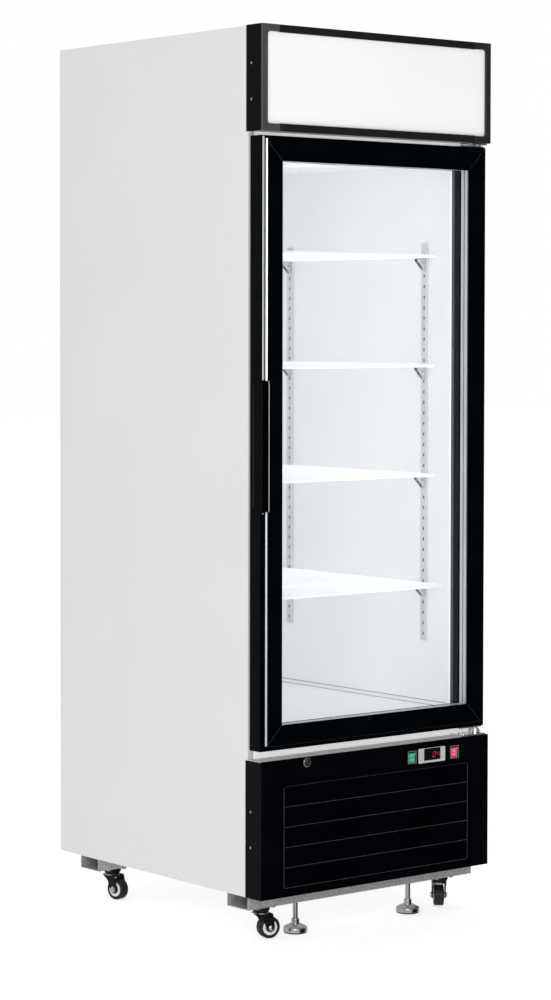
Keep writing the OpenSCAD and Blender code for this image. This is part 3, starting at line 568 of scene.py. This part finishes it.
def make_louvres():
    """Slats with a rolled lower edge, in a frame behind the cover's opening."""
    panel = Extent("louvre_panel")
    cover = Extent("lower_cover")
    top, count = cover.z1 - 62, 5
    pitch = 45.2
    bottom = top - count * pitch
    half = panel.x1
    slats = Build()
    front = cover.y0 + 0.3
    for i in range(count):
        z = bottom + i * pitch
        roll = arc((front + 1.5, z + 1.9), 1.5, 300, 180, 6)
        profile = roll + [(front, z + pitch - 3.2), (front + 1.0, z + pitch - 1.6),
                          (front + 9, z + pitch + 3.0), (front + 9, z + pitch + 4.2),
                          (front + 1.6, z + pitch + 0.6), (front + 1.8, z + pitch - 3),
                          (front + 1.8, z + 3.2)]
        slats.plate([profile], "x", -half + 1.2, half - 1.2, bevel=0.05, steps=1)
    for x in (-139, 0, 139):
        slats.box((x - 2, front + 9, bottom), (x + 2, panel.y1, top), 0.4)
    for x in (-half, half - 2):
        slats.box((x, front + 1, bottom), (x + 2, panel.y1, top), 0.4)
    slats.box((-half, panel.y1 - 3, bottom - 8), (half, panel.y1, bottom + 6), 0.5)
    slats.box((-half, panel.y1 - 3, top - 2), (half, panel.y1, top + 12), 0.5)
    slats.piece("louvre_slats", "root", "louvre_black", replaces=["louvre_panel"])
    # Light grey lines along the slats' edges and the panel's sides: painted highlights where the
    # edges catch light.
    lines = Build()
    y = cover.y0
    for i in range(count + 1):
        z = bottom + i * pitch
        lines.rod((-half + 3, y + 0.35, z + 0.9), (half - 3, y + 0.35, z + 0.9), 0.42, 8, 0.1)
    for x in (-half + 0.7, half - 0.7):
        lines.rod((x, y + 0.35, bottom + 2), (x, y + 0.35, top - 1), 0.42, 8, 0.1)
    lines.piece("louvre_lines", "root", "louvre_black", ["painted_highlight_grey"])


def make_cover_screws():
    """Pan-headed cross screws through the sides of the canopy and of the cover."""
    heads = Extent("cover_screws")
    cover, canopy = Extent("lower_cover"), Extent("canopy_housing")
    y = heads.y
    screws = Build()
    reach = heads.x1
    for side in (-1, 1):
        for z in (cover.z1 - 194, cover.z1 - 115, canopy.z0 + 70, canopy.z0 + 149):
            screws.use(0).lathe([(0, 0), (0, 2.0), (10.5, 2.0), (10.5, 3.4), (11.2, 3.3),
                                 (11.6, 2.4), (11.75, 0)],
                                (side * (reach - 11.8), y, z), (side, 0, 0), 24)
            # The cross recess is a darker grey cross flush with the head: painted shade in the
            # recess.
            screws.use(1)
            inner, outer = sorted((side * (reach - 0.6), side * (reach + 0.03)))
            screws.box((inner, y - 1.7, z - 0.35), (outer, y + 1.7, z + 0.35), 0.05, 1)
            screws.box((inner, y - 0.35, z - 1.7), (outer, y + 0.35, z + 1.7), 0.05, 1)
    screws.piece("side_screws", "root", "screw_zinc", ["screw_zinc", "mark_and_shade_grey"],
                 replaces=["cover_screws"])


# Lit segments of a digit: top, upper left, upper right, middle, lower left, lower right, bottom.
SEGMENTS = {"0": "1110111", "4": "0111010"}


def make_thermostat():
    """A case with ribs and a dark window, the number it shows, and arrows on its keys."""
    case = Extent("thermostat_case")
    cover = Extent("lower_cover")
    front = case.y0
    window = ((case.x - 24.5, case.z0 + 5), (case.x + 27, case.z1 - 1))
    keys = [Extent("key_up"), Extent("key_down")]
    holes = [rounded((k.x0 - 0.25, k.z0 - 0.2), (k.x1 + 0.25, k.z1 + 0.2), 1) for k in keys]
    body = Build()
    body.plate([rounded((case.x0, case.z0), (case.x1, case.z1), 3),
                rounded(*window, 2)[::-1], *[h[::-1] for h in holes]],
               "y", front, cover.y0, bevel=0.35)
    body.box((case.x0 + 4, cover.y0 + 0.1, case.z0 + 3.4), (case.x1 - 4, case.y1, case.z1 - 3.4), 1)
    rib_pitch = (case.z1 - case.z0 - 10) / 6
    for i in range(7):
        level = case.z0 + 5 + i * rib_pitch
        body.box((case.x0 + 3, front - 0.15, level - 0.5), (case.x0 + 15, front + 0.3, level + 0.5),
                 0.2)
    body.piece("thermostat_body", "root", "control_grey", replaces=["thermostat_case"])
    # Darker grey lines between the ribs and along the bottom: painted shade in the grooves.
    grooves = Build()
    for i in range(6):
        level = case.z0 + 5 + (i + 0.5) * rib_pitch
        grooves.box((case.x0 + 3, front - 0.05, level - 0.55),
                    (case.x0 + 15, front + 0.2, level + 0.55), 0.1, 1)
    grooves.box((case.x0 + 5, front - 0.1, case.z0 + 0.9),
                (case.x1 - 5, front + 0.2, case.z0 + 1.3), 0.1, 1)
    grooves.piece("thermostat_lines", "root", "control_grey", ["mark_and_shade_grey"])
    pane = Build().plate([rounded((window[0][0] + 0.1, window[0][1] + 0.1),
                                  (window[1][0] - 0.1, window[1][1] - 0.1), 2)], "y",
                         front + 0.3, cover.y0 - 0.05, bevel=0.15)
    pane.piece("display_window", "root", "control_grey", ["window_black"])
    lit = Build()
    high, wide, slant, bar = 12.0, 7.6, 0.14, 0.95
    for digit, left in (("0", case.x + 2.5), ("4", case.x + 14.5)):
        bottom = case.z - high / 2 + 0.5
        middle, top = bottom + high / 2, bottom + high
        ends = [((0, top), (wide, top)), ((0, middle), (0, top)), ((wide, middle), (wide, top)),
                ((0, middle), (wide, middle)), ((0, bottom), (0, middle)),
                ((wide, bottom), (wide, middle)), ((0, bottom), (wide, bottom))]
        for on, ((u0, v0), (u1, v1)) in zip(SEGMENTS[digit], ends):
            if on == "0":
                continue
            u0, u1 = (left + u + (v - bottom) * slant for u, v in ((u0, v0), (u1, v1)))
            along = Vector((u1 - u0, v1 - v0)).normalized()
            across = Vector((-along.y, along.x)) * bar / 2
            a, b = Vector((u0, v0)) + along * 0.5, Vector((u1, v1)) - along * 0.5
            outline = [a, a + along * 0.6 - across, b - along * 0.6 - across, b,
                       b - along * 0.6 + across, a + along * 0.6 + across]
            lit.plate([[tuple(p) for p in outline]], "y", front + 0.15, front + 0.35, bevel=0.03,
                      steps=1)
    lit.piece("display_digits", "root", "control_grey", ["digit_red"])
    for k, up, name in ((keys[0], 1, "key_up"), (keys[1], -1, "key_down")):
        tip = [(k.x - 2.2, k.z - up * 1.5), (k.x + 2.2, k.z - up * 1.5), (k.x, k.z + up * 2)]
        mark = Build().plate([tip[::up]], "y", k.y0 - 0.06, k.y0 + 0.3, bevel=0.05, steps=1)
        mark.piece(name + "_arrow", name, "key_grey", ["mark_and_shade_grey"])


def make_switches():
    """Square housings with a raised rim, and the marks on their rockers."""
    housings = Extent("switch_housings")
    cover = Extent("lower_cover")
    for name, body in (("green", "green_rocker"), ("red", "red_rocker")):
        rocker = Extent(body)
        x, z = rocker.x, housings.z
        half = 15
        shell = Build()
        opening = rounded((x - 11, z - 13.2), (x + 11, z + 13.2), 0.8)[::-1]
        shell.plate([rounded((x - half, z - half - 0.5), (x + half, z + half + 0.5), 2), opening],
                    "y", housings.y0, cover.y0 + 0.4, bevel=0.35)
        shell.plate([rounded((x - half + 1.7, z - half + 1.2), (x + half - 1.7, z + half - 1.2), 1),
                     opening], "y", cover.y0 + 0.3, cover.y0 + 17, bevel=0.2)
        shell.box((x - half + 1.7, cover.y0 + 16.8, z - half + 1.2),
                  (x + half - 1.7, housings.y1, z + half - 1.2), 0.6)
        for dx in (-6, 0, 6):
            shell.box((x + dx - 0.4, housings.y1 - 1, z - 3), (x + dx + 0.4, housings.y1, z + 3),
                      0.1, 1)
        shell.piece(name + "_switch", "root", "switch_black",
                    replaces=["switch_housings"] if name == "green" else ())
        rim = Build()
        rim.plate([rounded((x - 12.4, z - 14.4), (x + 12.4, z + 14.4), 1.4),
                   rounded((x - 11.3, z - 13.4), (x + 11.3, z + 13.4), 0.8)[::-1]],
                  "y", housings.y0 - 0.25, housings.y0 + 0.3, bevel=0.2)
        rim.piece(name + "_rim", "root", "switch_black", ["mark_and_shade_grey"])
        tilted = Matrix.Rotation(math.radians(8), 4, "X")
        marks = Build()
        marks.plate([rounded((-0.6, -2.4), (0.6, 2.4), 0.4)], "y", -0.12, 0.3, bevel=0.08, steps=1,
                    turn=Matrix.Translation((0, -10.4, 6)) @ tilted.inverted())
        lower = Matrix.Translation((0, -10.4, -6)) @ tilted
        marks.lathe([(0, 1.5), (0, 2.2), (0.4, 2.2), (0.4, 1.5), (0, 1.5)],
                    lower @ Vector((0, -0.12, 0)), lower.to_3x3() @ Vector(BACK), 24)
        marks.move(Matrix.Translation((x, joint_place(name + "_switch")[1], z)) @ tilted)
        marks.piece(name + "_marks", body, name + "_lens", ["mark_white"])


def make_lock():
    """A bright ring with a seal behind it, and the plug's keyway and a ring round the plug laid
    flat in a dark colour as painted shade in the slot and gap.
    """
    barrel = Extent("lock_barrel")
    x, z, front = barrel.x, barrel.z, barrel.y0
    ring = Build()
    ring.lathe([(0.2, 6.56), (0.0, 7.0), (0.0, 8.6), (0.25, 9.4), (0.7, 10.1), (1.2, 10.5),
                (1.4, 9.0), (15.2, 9.0), (15.2, 6.56), (0.2, 6.56)], (x, front, z), BACK, 56)
    ring.piece("lock_ring", "root", "lock_chrome", replaces=["lock_barrel"])
    plug = Extent("lock_plug")
    # The keyway and the ring round the plug are flat dark marks: painted shade in the slot and gap.
    face = Build().lathe([(0, 5.0), (0, 5.9), (0.3, 5.9), (0.3, 5.0), (0, 5.0)],
                         (x, plug.y0 - 0.12, z), BACK, 40)
    face.box((x - 1.1, plug.y0 - 0.1, z - 4.4), (x + 1.1, plug.y0 + 0.3, z + 4.4), 0.1, 1)
    face.piece("lock_keyway", "lock_plug", "lock_chrome", ["painted_shade_dark"])
    seal = Build().lathe([(0.9, 10.2), (0.9, 11.6), (1.5, 11.9), (1.5, 10.2), (0.9, 10.2)],
                         (x, front - 0.35, z), BACK, 56)
    seal.piece("lock_seal", "root", "gasket_black")


# ---------------- door


def make_door_trims():
    """Edge strips on the handle side, whose light tones and glow paint the highlights they catch,
    brighter above the handle and dimmer below, and fine painted highlight lines on the mitres.
    """
    door = Extent("door_rails")
    handle = Extent("door_handle")
    left, step, front = door.x0, door.y0 + 2.5, door.y0
    flat = [(left - 0.8, step), (left, step - 0.5), (left + 3.6, step - 0.5), (left + 4.4, step)]
    slope = [(left + 8.2, step - 0.3), (left + 8.6, step - 1.1), (left + 10.6, front - 0.4),
             (left + 11.8, front - 0.4), (left + 12.2, front + 0.1), (left + 10.6, front + 0.3)]
    # The upper strips are painted bright and the lower ones dimmer: painted highlight that fades
    # below the handle.
    for name, outline, z, look in (
            ("edge_strip_outer", flat, (handle.z1 + 1, door.z1 - 2), "edge_painted_highlight"),
            ("edge_strip_end", flat, (handle.z0 - 5, handle.z0 - 1), "edge_grey"),
            ("edge_strip_upper", slope, (handle.z1, door.z1 - 7), "edge_painted_highlight"),
            ("edge_strip_lower", slope, (door.z0 + 12, handle.z0), "edge_painted_soft_highlight")):
        shape = Build().plate([outline], "z", *z, bevel=0.02, steps=1)
        shape.piece(name, "door", "door_black", [look])
    # Thin light lines on the mitre joints: painted highlights where the joints catch light.
    lines = Build()
    inner = 55
    for side in (-1, 1):
        for up, z in ((1, door.z0), (-1, door.z1)):
            a = Vector((side * (door.x1 - 12), front - 0.02, z + up * 12))
            b = Vector((side * (door.x1 - inner + 0.5), front - 0.02, z + up * (inner - 0.5)))
            lines.rod(a, b, 0.18, 6, 0.05)
    lines.piece("mitre_lines", "door", "door_black", ["painted_highlight_grey"])


def make_glass():
    """Three clear sheets, one for each pane, so that light passes few surfaces."""
    box = Extent("door_glass")
    panes = Build()
    for y in (box.y0 + 0.1, box.y, box.y1 - 0.1):
        panes.sheet([(box.x0, y, box.z0), (box.x1, y, box.z0), (box.x1, y, box.z1),
                     (box.x0, y, box.z1)])
    panes.piece("panes", "door", "clear_glass", replaces=["door_glass"])


def make_gasket():
    """Magnetic seal with a bellows and a round front lip."""
    old = Extent("door_gasket")
    half = old.x1 - 20
    z = (old.z0 + 18, old.z1 - 14)
    y0, y1 = old.y0, old.y1
    profile = [(1.5, y0), (18.5, y0), (19.6, y0 + 1), (19.6, y0 + 3)]
    profile += [(17.4, y0 + 4.2), (19.8, y0 + 5.8), (19.8, y1 - 1.6), (18.4, y1), (3.5, y1)]
    profile += arc((2.2, y1 - 2.0), 2.0, 90, 180, 4)
    profile += [(2.6, y0 + 5.4), (0.6, y0 + 3.6), (0.4, y0 + 1)]
    Build().ring(profile, half, z).piece("door_seal", "door", "gasket_black",
                                         replaces=["door_gasket"])


def make_handle():
    """A grip that wraps the door's edge, with round corners and a thumb bead at the back; the bead
    and the front edge are coloured lighter as painted highlights.
    """
    box = Extent("door_handle")
    door = Extent("door_rails")
    x0, x1, y0, y1 = box.x0, box.x1, box.y0, box.y1
    door_x, door_y = door.x0, door.y0
    outline = arc((x0 + 3, y0 + 3), 3, 180, 270) + arc((x1 - 1.9, y0 + 1.9), 1.9, -90, 60, 5)
    outline += [(x1 - 3, door_y), (door_x + 8, door_y), (door_x + 8, door_y + 2.4),
                (door_x, door_y + 2.4)]
    outline += [(door_x, y1 - 1)] + arc((x0 + 2.4, y1 - 2.4), 2.4, 60, 180, 5)
    grip = Build().plate([outline], "z", box.z0, box.z1, bevel=0.9, steps=3)
    grip.piece("door_grip", "door", "handle_black", replaces=["door_handle"])
    # The bead is painted light grey: a painted highlight along the grip's back.
    lines = Build()
    lines.rod((x0 + 0.5, y1 - 3, box.z0 + 10), (x0 + 0.5, y1 - 3, box.z1 - 9), 0.62, 10, 0.2)
    lines.piece("grip_bead", "door", "handle_black", ["painted_highlight_grey"])
    # The front edge is a tube in a lighter metal tone with glow: a painted soft highlight.
    edge = Build()
    path = [(x1 - 4.2, y0 - 0.05, box.z0 + 1.2), (x1 - 1.7, y0 + 0.1, box.z0 + 2.2),
            (x1 - 1.7, y0 + 0.1, box.z1 - 2.2), (x1 - 4.2, y0 - 0.05, box.z1 - 1.2)]
    edge.tube(fillet(path, 4), 0.75, 10)
    edge.piece("grip_edge", "door", "handle_black", ["edge_painted_soft_highlight"])


def make_hinges():
    """Screws and a collar on the hinge plates."""
    low = Extent("hinge_brackets")
    door = Extent("door_rails")
    x, y = door.x1 - 14, door.y
    fixed = Build()
    for dx, dy in ((-46, -10), (-46, 12), (-30, 14)):
        fixed.lathe([(0, 0), (0, 4.6), (1.4, 4.4), (2.2, 3.0), (2.4, 0)],
                    (x + dx, y + dy, low.z0 + 3), UP, 24)
    fixed.lathe([(0, 5.4), (0, 12.5), (1.8, 12.5), (2.6, 11.5), (2.6, 5.4), (0, 5.4)],
                (x, y, low.z0 + 3), UP, 36)
    for dx in (-22, -6):
        fixed.lathe([(0, 0), (0, 4.0), (1.2, 3.8), (2.0, 2.4), (2.1, 0)],
                    (x + dx, low.y1 - 3, low.z1 - 14), (0, -1, 0), 24)
    fixed.piece("hinge_screws", "root", "zinc", ["lock_chrome"])
    moving = Build()
    for dx in (-50, -28):
        for z, out in ((door.z1 + 2.6, UP), (door.z0 - 3, DOWN)):
            moving.lathe([(0, 0), (0, 3.6), (1.0, 3.4), (1.7, 2.2), (1.8, 0)], (x + dx, y, z), out,
                         24)
    moving.piece("hinge_plate_screws", "door", "zinc", ["lock_chrome"])


# ---------------- inside


def make_liner_trims():
    """Coved corners of the liner, and the trim round its mouth."""
    liner = Extent("inner_liner")
    x, back, floor = liner.x1 - 1, liner.y1 - 1, liner.z0 + 1
    ceiling, mouth = Extent("evaporator_cover").z0, Extent("face_frame").y0
    cove = Build()
    r = 8

    def corner(u, v, su, sv):
        """A concave fillet in the corner (u, v) that opens towards (su, sv)."""
        middle = (u + su * r, v + sv * r)
        start = math.degrees(math.atan2(-sv, -su)) - 45
        return [(u - su * 0.2, v - sv * 0.2)] + arc(middle, r, start, start + 90, 8)

    for side in (-1, 1):
        cove.plate([corner(side * x, back, -side, -1)], "z", floor, ceiling, bevel=0.02, steps=1)
        cove.plate([corner(side * x, floor, -side, 1)], "y", mouth + 36, back, bevel=0.02, steps=1)
    cove.plate([corner(back, floor, -1, 1)], "x", -x, x, bevel=0.02, steps=1)
    cove.piece("liner_coving", "root", "liner_white")
    seams = Build()
    for side in (-1, 1):
        for dx, dz in ((r + 0.6, 0.3), (0.3, r + 0.6)):
            seams.rod((side * (x - dx), mouth + 40, floor + dz),
                      (side * (x - dx), back - r, floor + dz), 0.6, 8, 0.1)
    seams.piece("floor_seams", "root", "liner_white", ["trim_dark"])
    for name, y, depth, thick, look in (("mouth_trim_front", mouth + 0.5, 17, 1.5, "gasket_black"),
                                        ("mouth_trim_rear", mouth + 17.5, 9, 1.6, "trim_dark"),
                                        ("mouth_trim_edge", mouth + 26.5, 4.5, 2.2, "shelf_white")):
        profile = [(0, y), (0, y + depth), (-thick + 0.4, y + depth), (-thick, y + depth - 0.4),
                   (-thick, y + 0.4), (-thick + 0.4, y)]
        Build().ring(profile, x, (floor, ceiling)).piece(name, "root", "liner_white", [look])


def make_standards():
    """Slotted channels on the side walls, with a dark strip inside painted as the shade behind the
    slots.
    """
    box = Extent("shelf_standards")
    bars = Build()
    deep, half, pitch = 5, 10, 25
    slots = int((box.z1 - box.z0 - 20) // pitch) + 1
    for side in (-1, 1):
        for y in (box.y0 + half, box.y1 - half):
            holes = [rounded((y - 2, z - 3.5), (y + 2, z + 3.5), 1)[::-1]
                     for z in (box.z0 + 16 + i * pitch for i in range(slots))]
            inner, outer = sorted((side * (box.x1 - deep), side * (box.x1 - deep + 1.2)))
            bars.use(0).plate([rounded((y - half, box.z0), (y + half, box.z1), 1), *holes], "x",
                              inner, outer, bevel=0.25)
            for edge in (y - half, y + half - 1.2):
                low, high = sorted((side * (box.x1 - deep + 0.6), side * box.x1))
                bars.box((low, edge, box.z0), (high, edge + 1.2, box.z1), 0.3)
            # A dark strip at the back of each channel: painted shade behind the slots.
            low, high = sorted((side * (box.x1 - 1.4), side * (box.x1 - 0.4)))
            bars.use(1).box((low, y - half + 1.3, box.z0 + 1), (high, y + half - 1.3, box.z1 - 1),
                            0.1)
    bars.piece("standards", "root", "zinc", ["standard_grey", "painted_shade_dark"],
               replaces=["shelf_standards"])
    # Bright rods along the channels' edges: painted highlights.
    lines = Build()
    for side in (-1, 1):
        for y in (box.y0, box.y1 - 2 * half):
            lines.rod((side * (box.x1 - deep + 0.4), y + 0.5, box.z0),
                      (side * (box.x1 - deep + 0.4), y + 0.5, box.z1), 0.9, 8, 0.2)
    lines.piece("standard_edges", "root", "zinc", ["edge_painted_highlight"])


def make_clips():
    """Bent sheet clips that hook into the standards' slots."""
    standards = Extent("shelf_standards")
    x = standards.x1 - 5
    clips = Build()
    reach, high, sheet = 26, 28, 1.4
    for side in (-1, 1):
        for y in (standards.y0 + 10, standards.y1 - 10):
            for level in SHELVES:
                z = Extent(f"shelf_{level}").z1 - 9.6
                shape = [(x - 0.1, z), (x - 0.1, z - high), (x - 4, z - high), (x - reach, z - 6),
                         (x - reach, z)]
                hole = arc((x - 9, z - 9), 2.4, 0, -330, 10)
                for dy in (-6, 6 - sheet):
                    outline = [(side * u, v) for u, v in shape]
                    clips.plate([outline[::-side], [(side * u, v) for u, v in hole]],
                                "y", y + dy, y + dy + sheet, bevel=0.3)
                x_low, x_high = sorted((side * (x - reach), side * (x - 0.1)))
                clips.box((x_low, y - 6, z - sheet), (x_high, y + 6, z), 0.4)
    clips.piece("clips", "root", "zinc", replaces=["shelf_clips"])


def make_shelf(level):
    """Coated wires welded on a round frame with two cross bars."""
    name = f"shelf_{level}"
    box = Extent(name)
    frame_r, wire_r, pitch = 3.2, 1.8, 25
    top = box.z1
    frame_z = top - 2 * wire_r - frame_r + 0.8
    x, y0, y1 = box.x1 - frame_r, box.y0 + frame_r, box.y1 - frame_r
    shelf = Build()
    corners = [(0, y0), (x, y0), (x, y1), (-x, y1), (-x, y0), (0, y0)]
    loop = fillet([(u, v, frame_z) for u, v in corners], 8)
    shelf.tube(loop, frame_r, 16)
    shelf.tube([(-x + 6, y0, frame_z + 1.6), (x - 6, y0, frame_z + 1.6)], frame_r, 16)
    for f in (1 / 3, 2 / 3):
        y = y0 + f * (y1 - y0)
        shelf.rod((-x, y, frame_z), (x, y, frame_z), frame_r, 16)
    wires = int((x - 10) // pitch)
    for i in range(-wires, wires + 1):
        shelf.rod((i * pitch, box.y0 + 0.6, top - wire_r), (i * pitch, box.y1 - 0.6, top - wire_r),
                  wire_r, 12, 0.7)
    shelf.piece("wire_" + name, name, "shelf_white", replaces=[name])


def make_ceiling():
    """Ring guard over the evaporator fan's mouth, and screws of its cover."""
    cover = Extent("evaporator_cover")
    guard = Build()
    z, centre_y = cover.z0 - 3, joint_place("evaporator_fan_spin")[1]
    for radius in range(18, 100, 16):
        circle = arc((0, centre_y), radius, 0, 360, 48)
        guard.tube([(u, v, z) for u, v in circle], 1.1, 8)
    for angle in range(0, 180, 45):
        u, v = math.cos(math.radians(angle)) * 102, math.sin(math.radians(angle)) * 102
        guard.rod((-u, centre_y - v, z + 1.6), (u, centre_y + v, z + 1.6), 1.2, 8)
    guard.piece("fan_guard", "root", "liner_white", ["shelf_white"])
    screws = Build()
    for x in (-250, 0, 250):
        for y in (cover.y0 + 14, 200):
            screws.lathe([(0, 0), (0, 3.6), (1.0, 3.3), (1.5, 1.8), (1.6, 0)],
                         (x, y, cover.z0), DOWN, 20)
    screws.piece("ceiling_screws", "root", "liner_white", ["zinc"])


# ---------------- underframe


def make_caster(corner):
    """Plate, ball race, pressed fork and a wheel with a white ring, at its rest direction."""
    x, y, _ = joint_place("caster_swivel_" + corner)
    axle = JOINTS["caster_roll_" + corner]["axis"]
    wheel = Extent("caster_wheel_" + corner)
    radius = (wheel.z1 - wheel.z0) / 2
    trail, half, crown, plate_z = 18, 12, 57, 77
    spot = Matrix.Translation((x, y, 0))
    place = spot @ Matrix.Rotation(math.atan2(-axle[0], axle[1]), 4, "Z")
    plate = Build()
    holes = [arc((u, v), 3.2, 360, 30, 11) for u in (-22, 22) for v in (-17, 17)]
    plate.plate([rounded((-30, -25), (30, 25), 6), *holes], "z", plate_z - 2.5, plate_z, 0.5)
    plate.lathe([(0, 0), (0, 19.5), (-1.2, 20.6), (-8.2, 20.6), (-11.0, 18.6), (-13.4, 16.8),
                 (-13.8, 15.2), (-13.8, 0)], (0, 0, plate_z - 2.4), UP, 48)
    plate.use(1)
    plate.lathe([(0, 0), (0, 8.6), (0.8, 9.0), (2.4, 9.0), (3.2, 8.2), (3.2, 0)],
                (0, 0, crown - 3.4), UP, 32)
    for u in (-22, 22):
        for v in (-17, 17):
            plate.lathe([(0, 0), (0, 5.2), (1.0, 5.5), (3.6, 5.5), (4.2, 4.8), (4.2, 0)],
                        (u, v, plate_z - 2.6), DOWN, 6)
    plate.move(spot)
    plate.piece("swivel_plate_" + corner, "root", "caster_black", ["caster_black", "screw_zinc"],
                replaces=["caster_plates"] if corner == "front_left" else ())
    fork = Build()
    fork.lathe([(0, 5.1), (0, 16.2), (1.0, 17.6), (3.2, 17.6), (4.0, 16.4), (4.0, 5.1), (0, 5.1)],
               (0, 0, crown - 0.6), UP, 48)
    for side in (-1, 1):
        leg = [(-16, crown + 2.4), (-15, crown - 1), (-1, crown - 12)]
        leg += arc((trail, radius), 9.4, 205, 360, 10) + [(trail + 8, crown - 12)]
        leg += arc((trail - 1, crown - 5), 7.4, 0, 90, 5)[:-1] + [(trail - 2, crown + 2.4)]
        inner = side * (half + 2)
        low, high = sorted((inner, side * (half + 4.5)))
        fork.plate([leg], "y", low, high, bevel=0.8, steps=3)
    fork.plate([rounded((-16, -half - 4.2), (18, half + 4.2), 3)], "z", crown, crown + 2.4, 0.6)
    fork.use(1)
    for side in (-1, 1):
        fork.lathe([(0, 0), (0, 6.6), (0.8, 7.0), (1.2, 7.0), (1.3, 5.6), (3.4, 5.3),
                    (4.3, 3.6), (4.5, 0)], (trail, side * (half + 4.4), radius), (0, side, 0), 32)
    fork.rod((trail, -half - 4, radius), (trail, half + 4, radius), 4.0)
    race = [(0, 17.2), (0, 19.0), (0.8, 19.4), (2.0, 19.4), (2.6, 18.6), (2.6, 17.2), (0, 17.2)]
    fork.lathe(race, (0, 0, crown + 0.9), UP, 48)
    fork.move(place)
    fork.piece("fork_" + corner, "caster_fork_" + corner, "caster_black",
               ["caster_black", "lock_chrome"], replaces=["caster_fork_" + corner])
    tyre = Build()
    hub_r = 17.4
    section = [(-half + 2.4, hub_r), (-half + 1.6, hub_r + 2)]
    section += arc((-half + 4, radius - 4), 4, 180, 100) + [(0, radius)]
    section += arc((half - 4, radius - 4), 4, 80, 0)
    section += [(half - 1.6, hub_r + 2), (half - 2.4, hub_r), (-half + 2.4, hub_r)]
    tyre.lathe(section, (trail, 0, radius), BACK, 64)
    tyre.use(1)
    disc = [(-half + 1.2, 10.2), (-half + 0.6, 11), (-half + 0.6, hub_r - 0.4),
            (-half + 2.2, hub_r + 0.2), (half - 2.2, hub_r + 0.2), (half - 0.6, hub_r - 0.4),
            (half - 0.6, 11), (half - 1.2, 10.2), (half - 3, 9.8), (half - 3, 4.1),
            (-half + 3, 4.1), (-half + 3, 9.8), (-half + 1.2, 10.2)]
    tyre.lathe(disc, (trail, 0, radius), BACK, 48)
    tyre.use(2)
    for side in (-1, 1):
        tyre.lathe([(0, 4.2), (0, 9.7), (1.6, 9.5), (2.2, 8.4), (2.2, 4.2), (0, 4.2)],
                   (trail, side * (half - 3.1), radius), (0, side, 0), 32)
    tyre.move(place)
    tyre.piece("wheel_" + corner, "caster_wheel_" + corner, "tyre_black",
               ["tyre_black", "hub_white", "caster_black"], replaces=["caster_wheel_" + corner])


def make_foot(side):
    """Steel pad with a rubber sole, a hexagonal collar and a threaded stem."""
    name = "foot_" + side
    box = Extent(name)
    x, y, pad, stem = box.x, box.y, (box.x1 - box.x0) / 2, 6.0
    foot = Build()
    foot.use(1).lathe([(0, 0), (0, pad - 3.2), (0.8, pad - 1.6), (3.0, pad - 1.0), (3.2, 0)],
                      (x, y, 0), UP, 64)
    foot.use(0)
    shell = [(3.1, 0), (3.1, pad - 0.6), (3.8, pad), (11.4, pad), (13.2, pad - 0.9)]
    shell += [(16.2, pad - 5), (18.6, pad - 10.5), (20.2, 13.6), (20.9, 11.4), (21.0, 0)]
    foot.lathe(shell, (x, y, 0), UP, 72)
    foot.lathe([(0, 0), (0, 9.0), (0.8, 10), (10.4, 10), (11.6, 8.8), (11.6, 0)],
               (x, y, 20.6), UP, 6)
    pitch, depth, base = 1.5, 0.2, 32
    thread = [(0, 0), (0, stem - depth)]
    level = 1.0
    length = box.z1 - base
    while level < length - 1.5:
        thread += [(level, stem - depth), (level + pitch * 0.5, stem)]
        level += pitch
    thread += [(length - 1, stem - depth), (length, stem - 1), (length, 0)]
    foot.lathe(thread, (x, y, base), UP, 32)
    foot.piece("levelling_" + name, name, "foot_steel", ["foot_steel", "rubber_black"],
               replaces=[name], smooth=50)


# ---------------- back


def make_back():
    """Screws along the rear panels and the entry's grommet."""
    panel, grille = Extent("rear_panel"), Extent("rear_grille")
    screws = Build()
    levels = [grille.z0 + 20, grille.z1 - 20, panel.z0 + 30]
    levels += [panel.z0 + 30 + i * (panel.z1 - panel.z0 - 60) / 4 for i in range(1, 5)]
    for x in (panel.x0 + 9, panel.x1 - 9):
        for z in levels:
            screws.lathe([(-1.2, 0), (-1.2, 3.8), (-0.7, 3.8), (-0.1, 2.4), (0, 0)],
                         (x, panel.y1, z), BACK, 20)
    screws.piece("rear_screws", "root", "screw_zinc")
    gland = Extent("cable_gland")
    ring = Build()
    ring.lathe([(0, 4.3), (0, 11.6), (1.4, 12), (7.4, 12), (8, 11.6), (8, 8.9), (11.2, 8.9),
                (12, 8.2), (12, 4.3), (0, 4.3)], (gland.x, gland.y0, gland.z), BACK, 40)
    ring.piece("gland_ring", "root", "rubber_black", replaces=["cable_gland"])


# ---------------- the scene

LOOKS = make_materials()
SHELVES = (1, 2, 3, 4)

make_camera()
make_studio()
finish_cad_nodes()
make_canopy()
make_louvres()
make_cover_screws()
make_thermostat()
make_switches()
make_lock()
make_door_trims()
make_glass()
make_gasket()
make_handle()
make_hinges()
make_liner_trims()
make_standards()
make_clips()
for shelf_number in SHELVES:
    make_shelf(shelf_number)
make_ceiling()
for caster_corner in ("front_left", "front_right", "rear_left", "rear_right"):
    make_caster(caster_corner)
make_foot("left")
make_foot("right")
make_back()
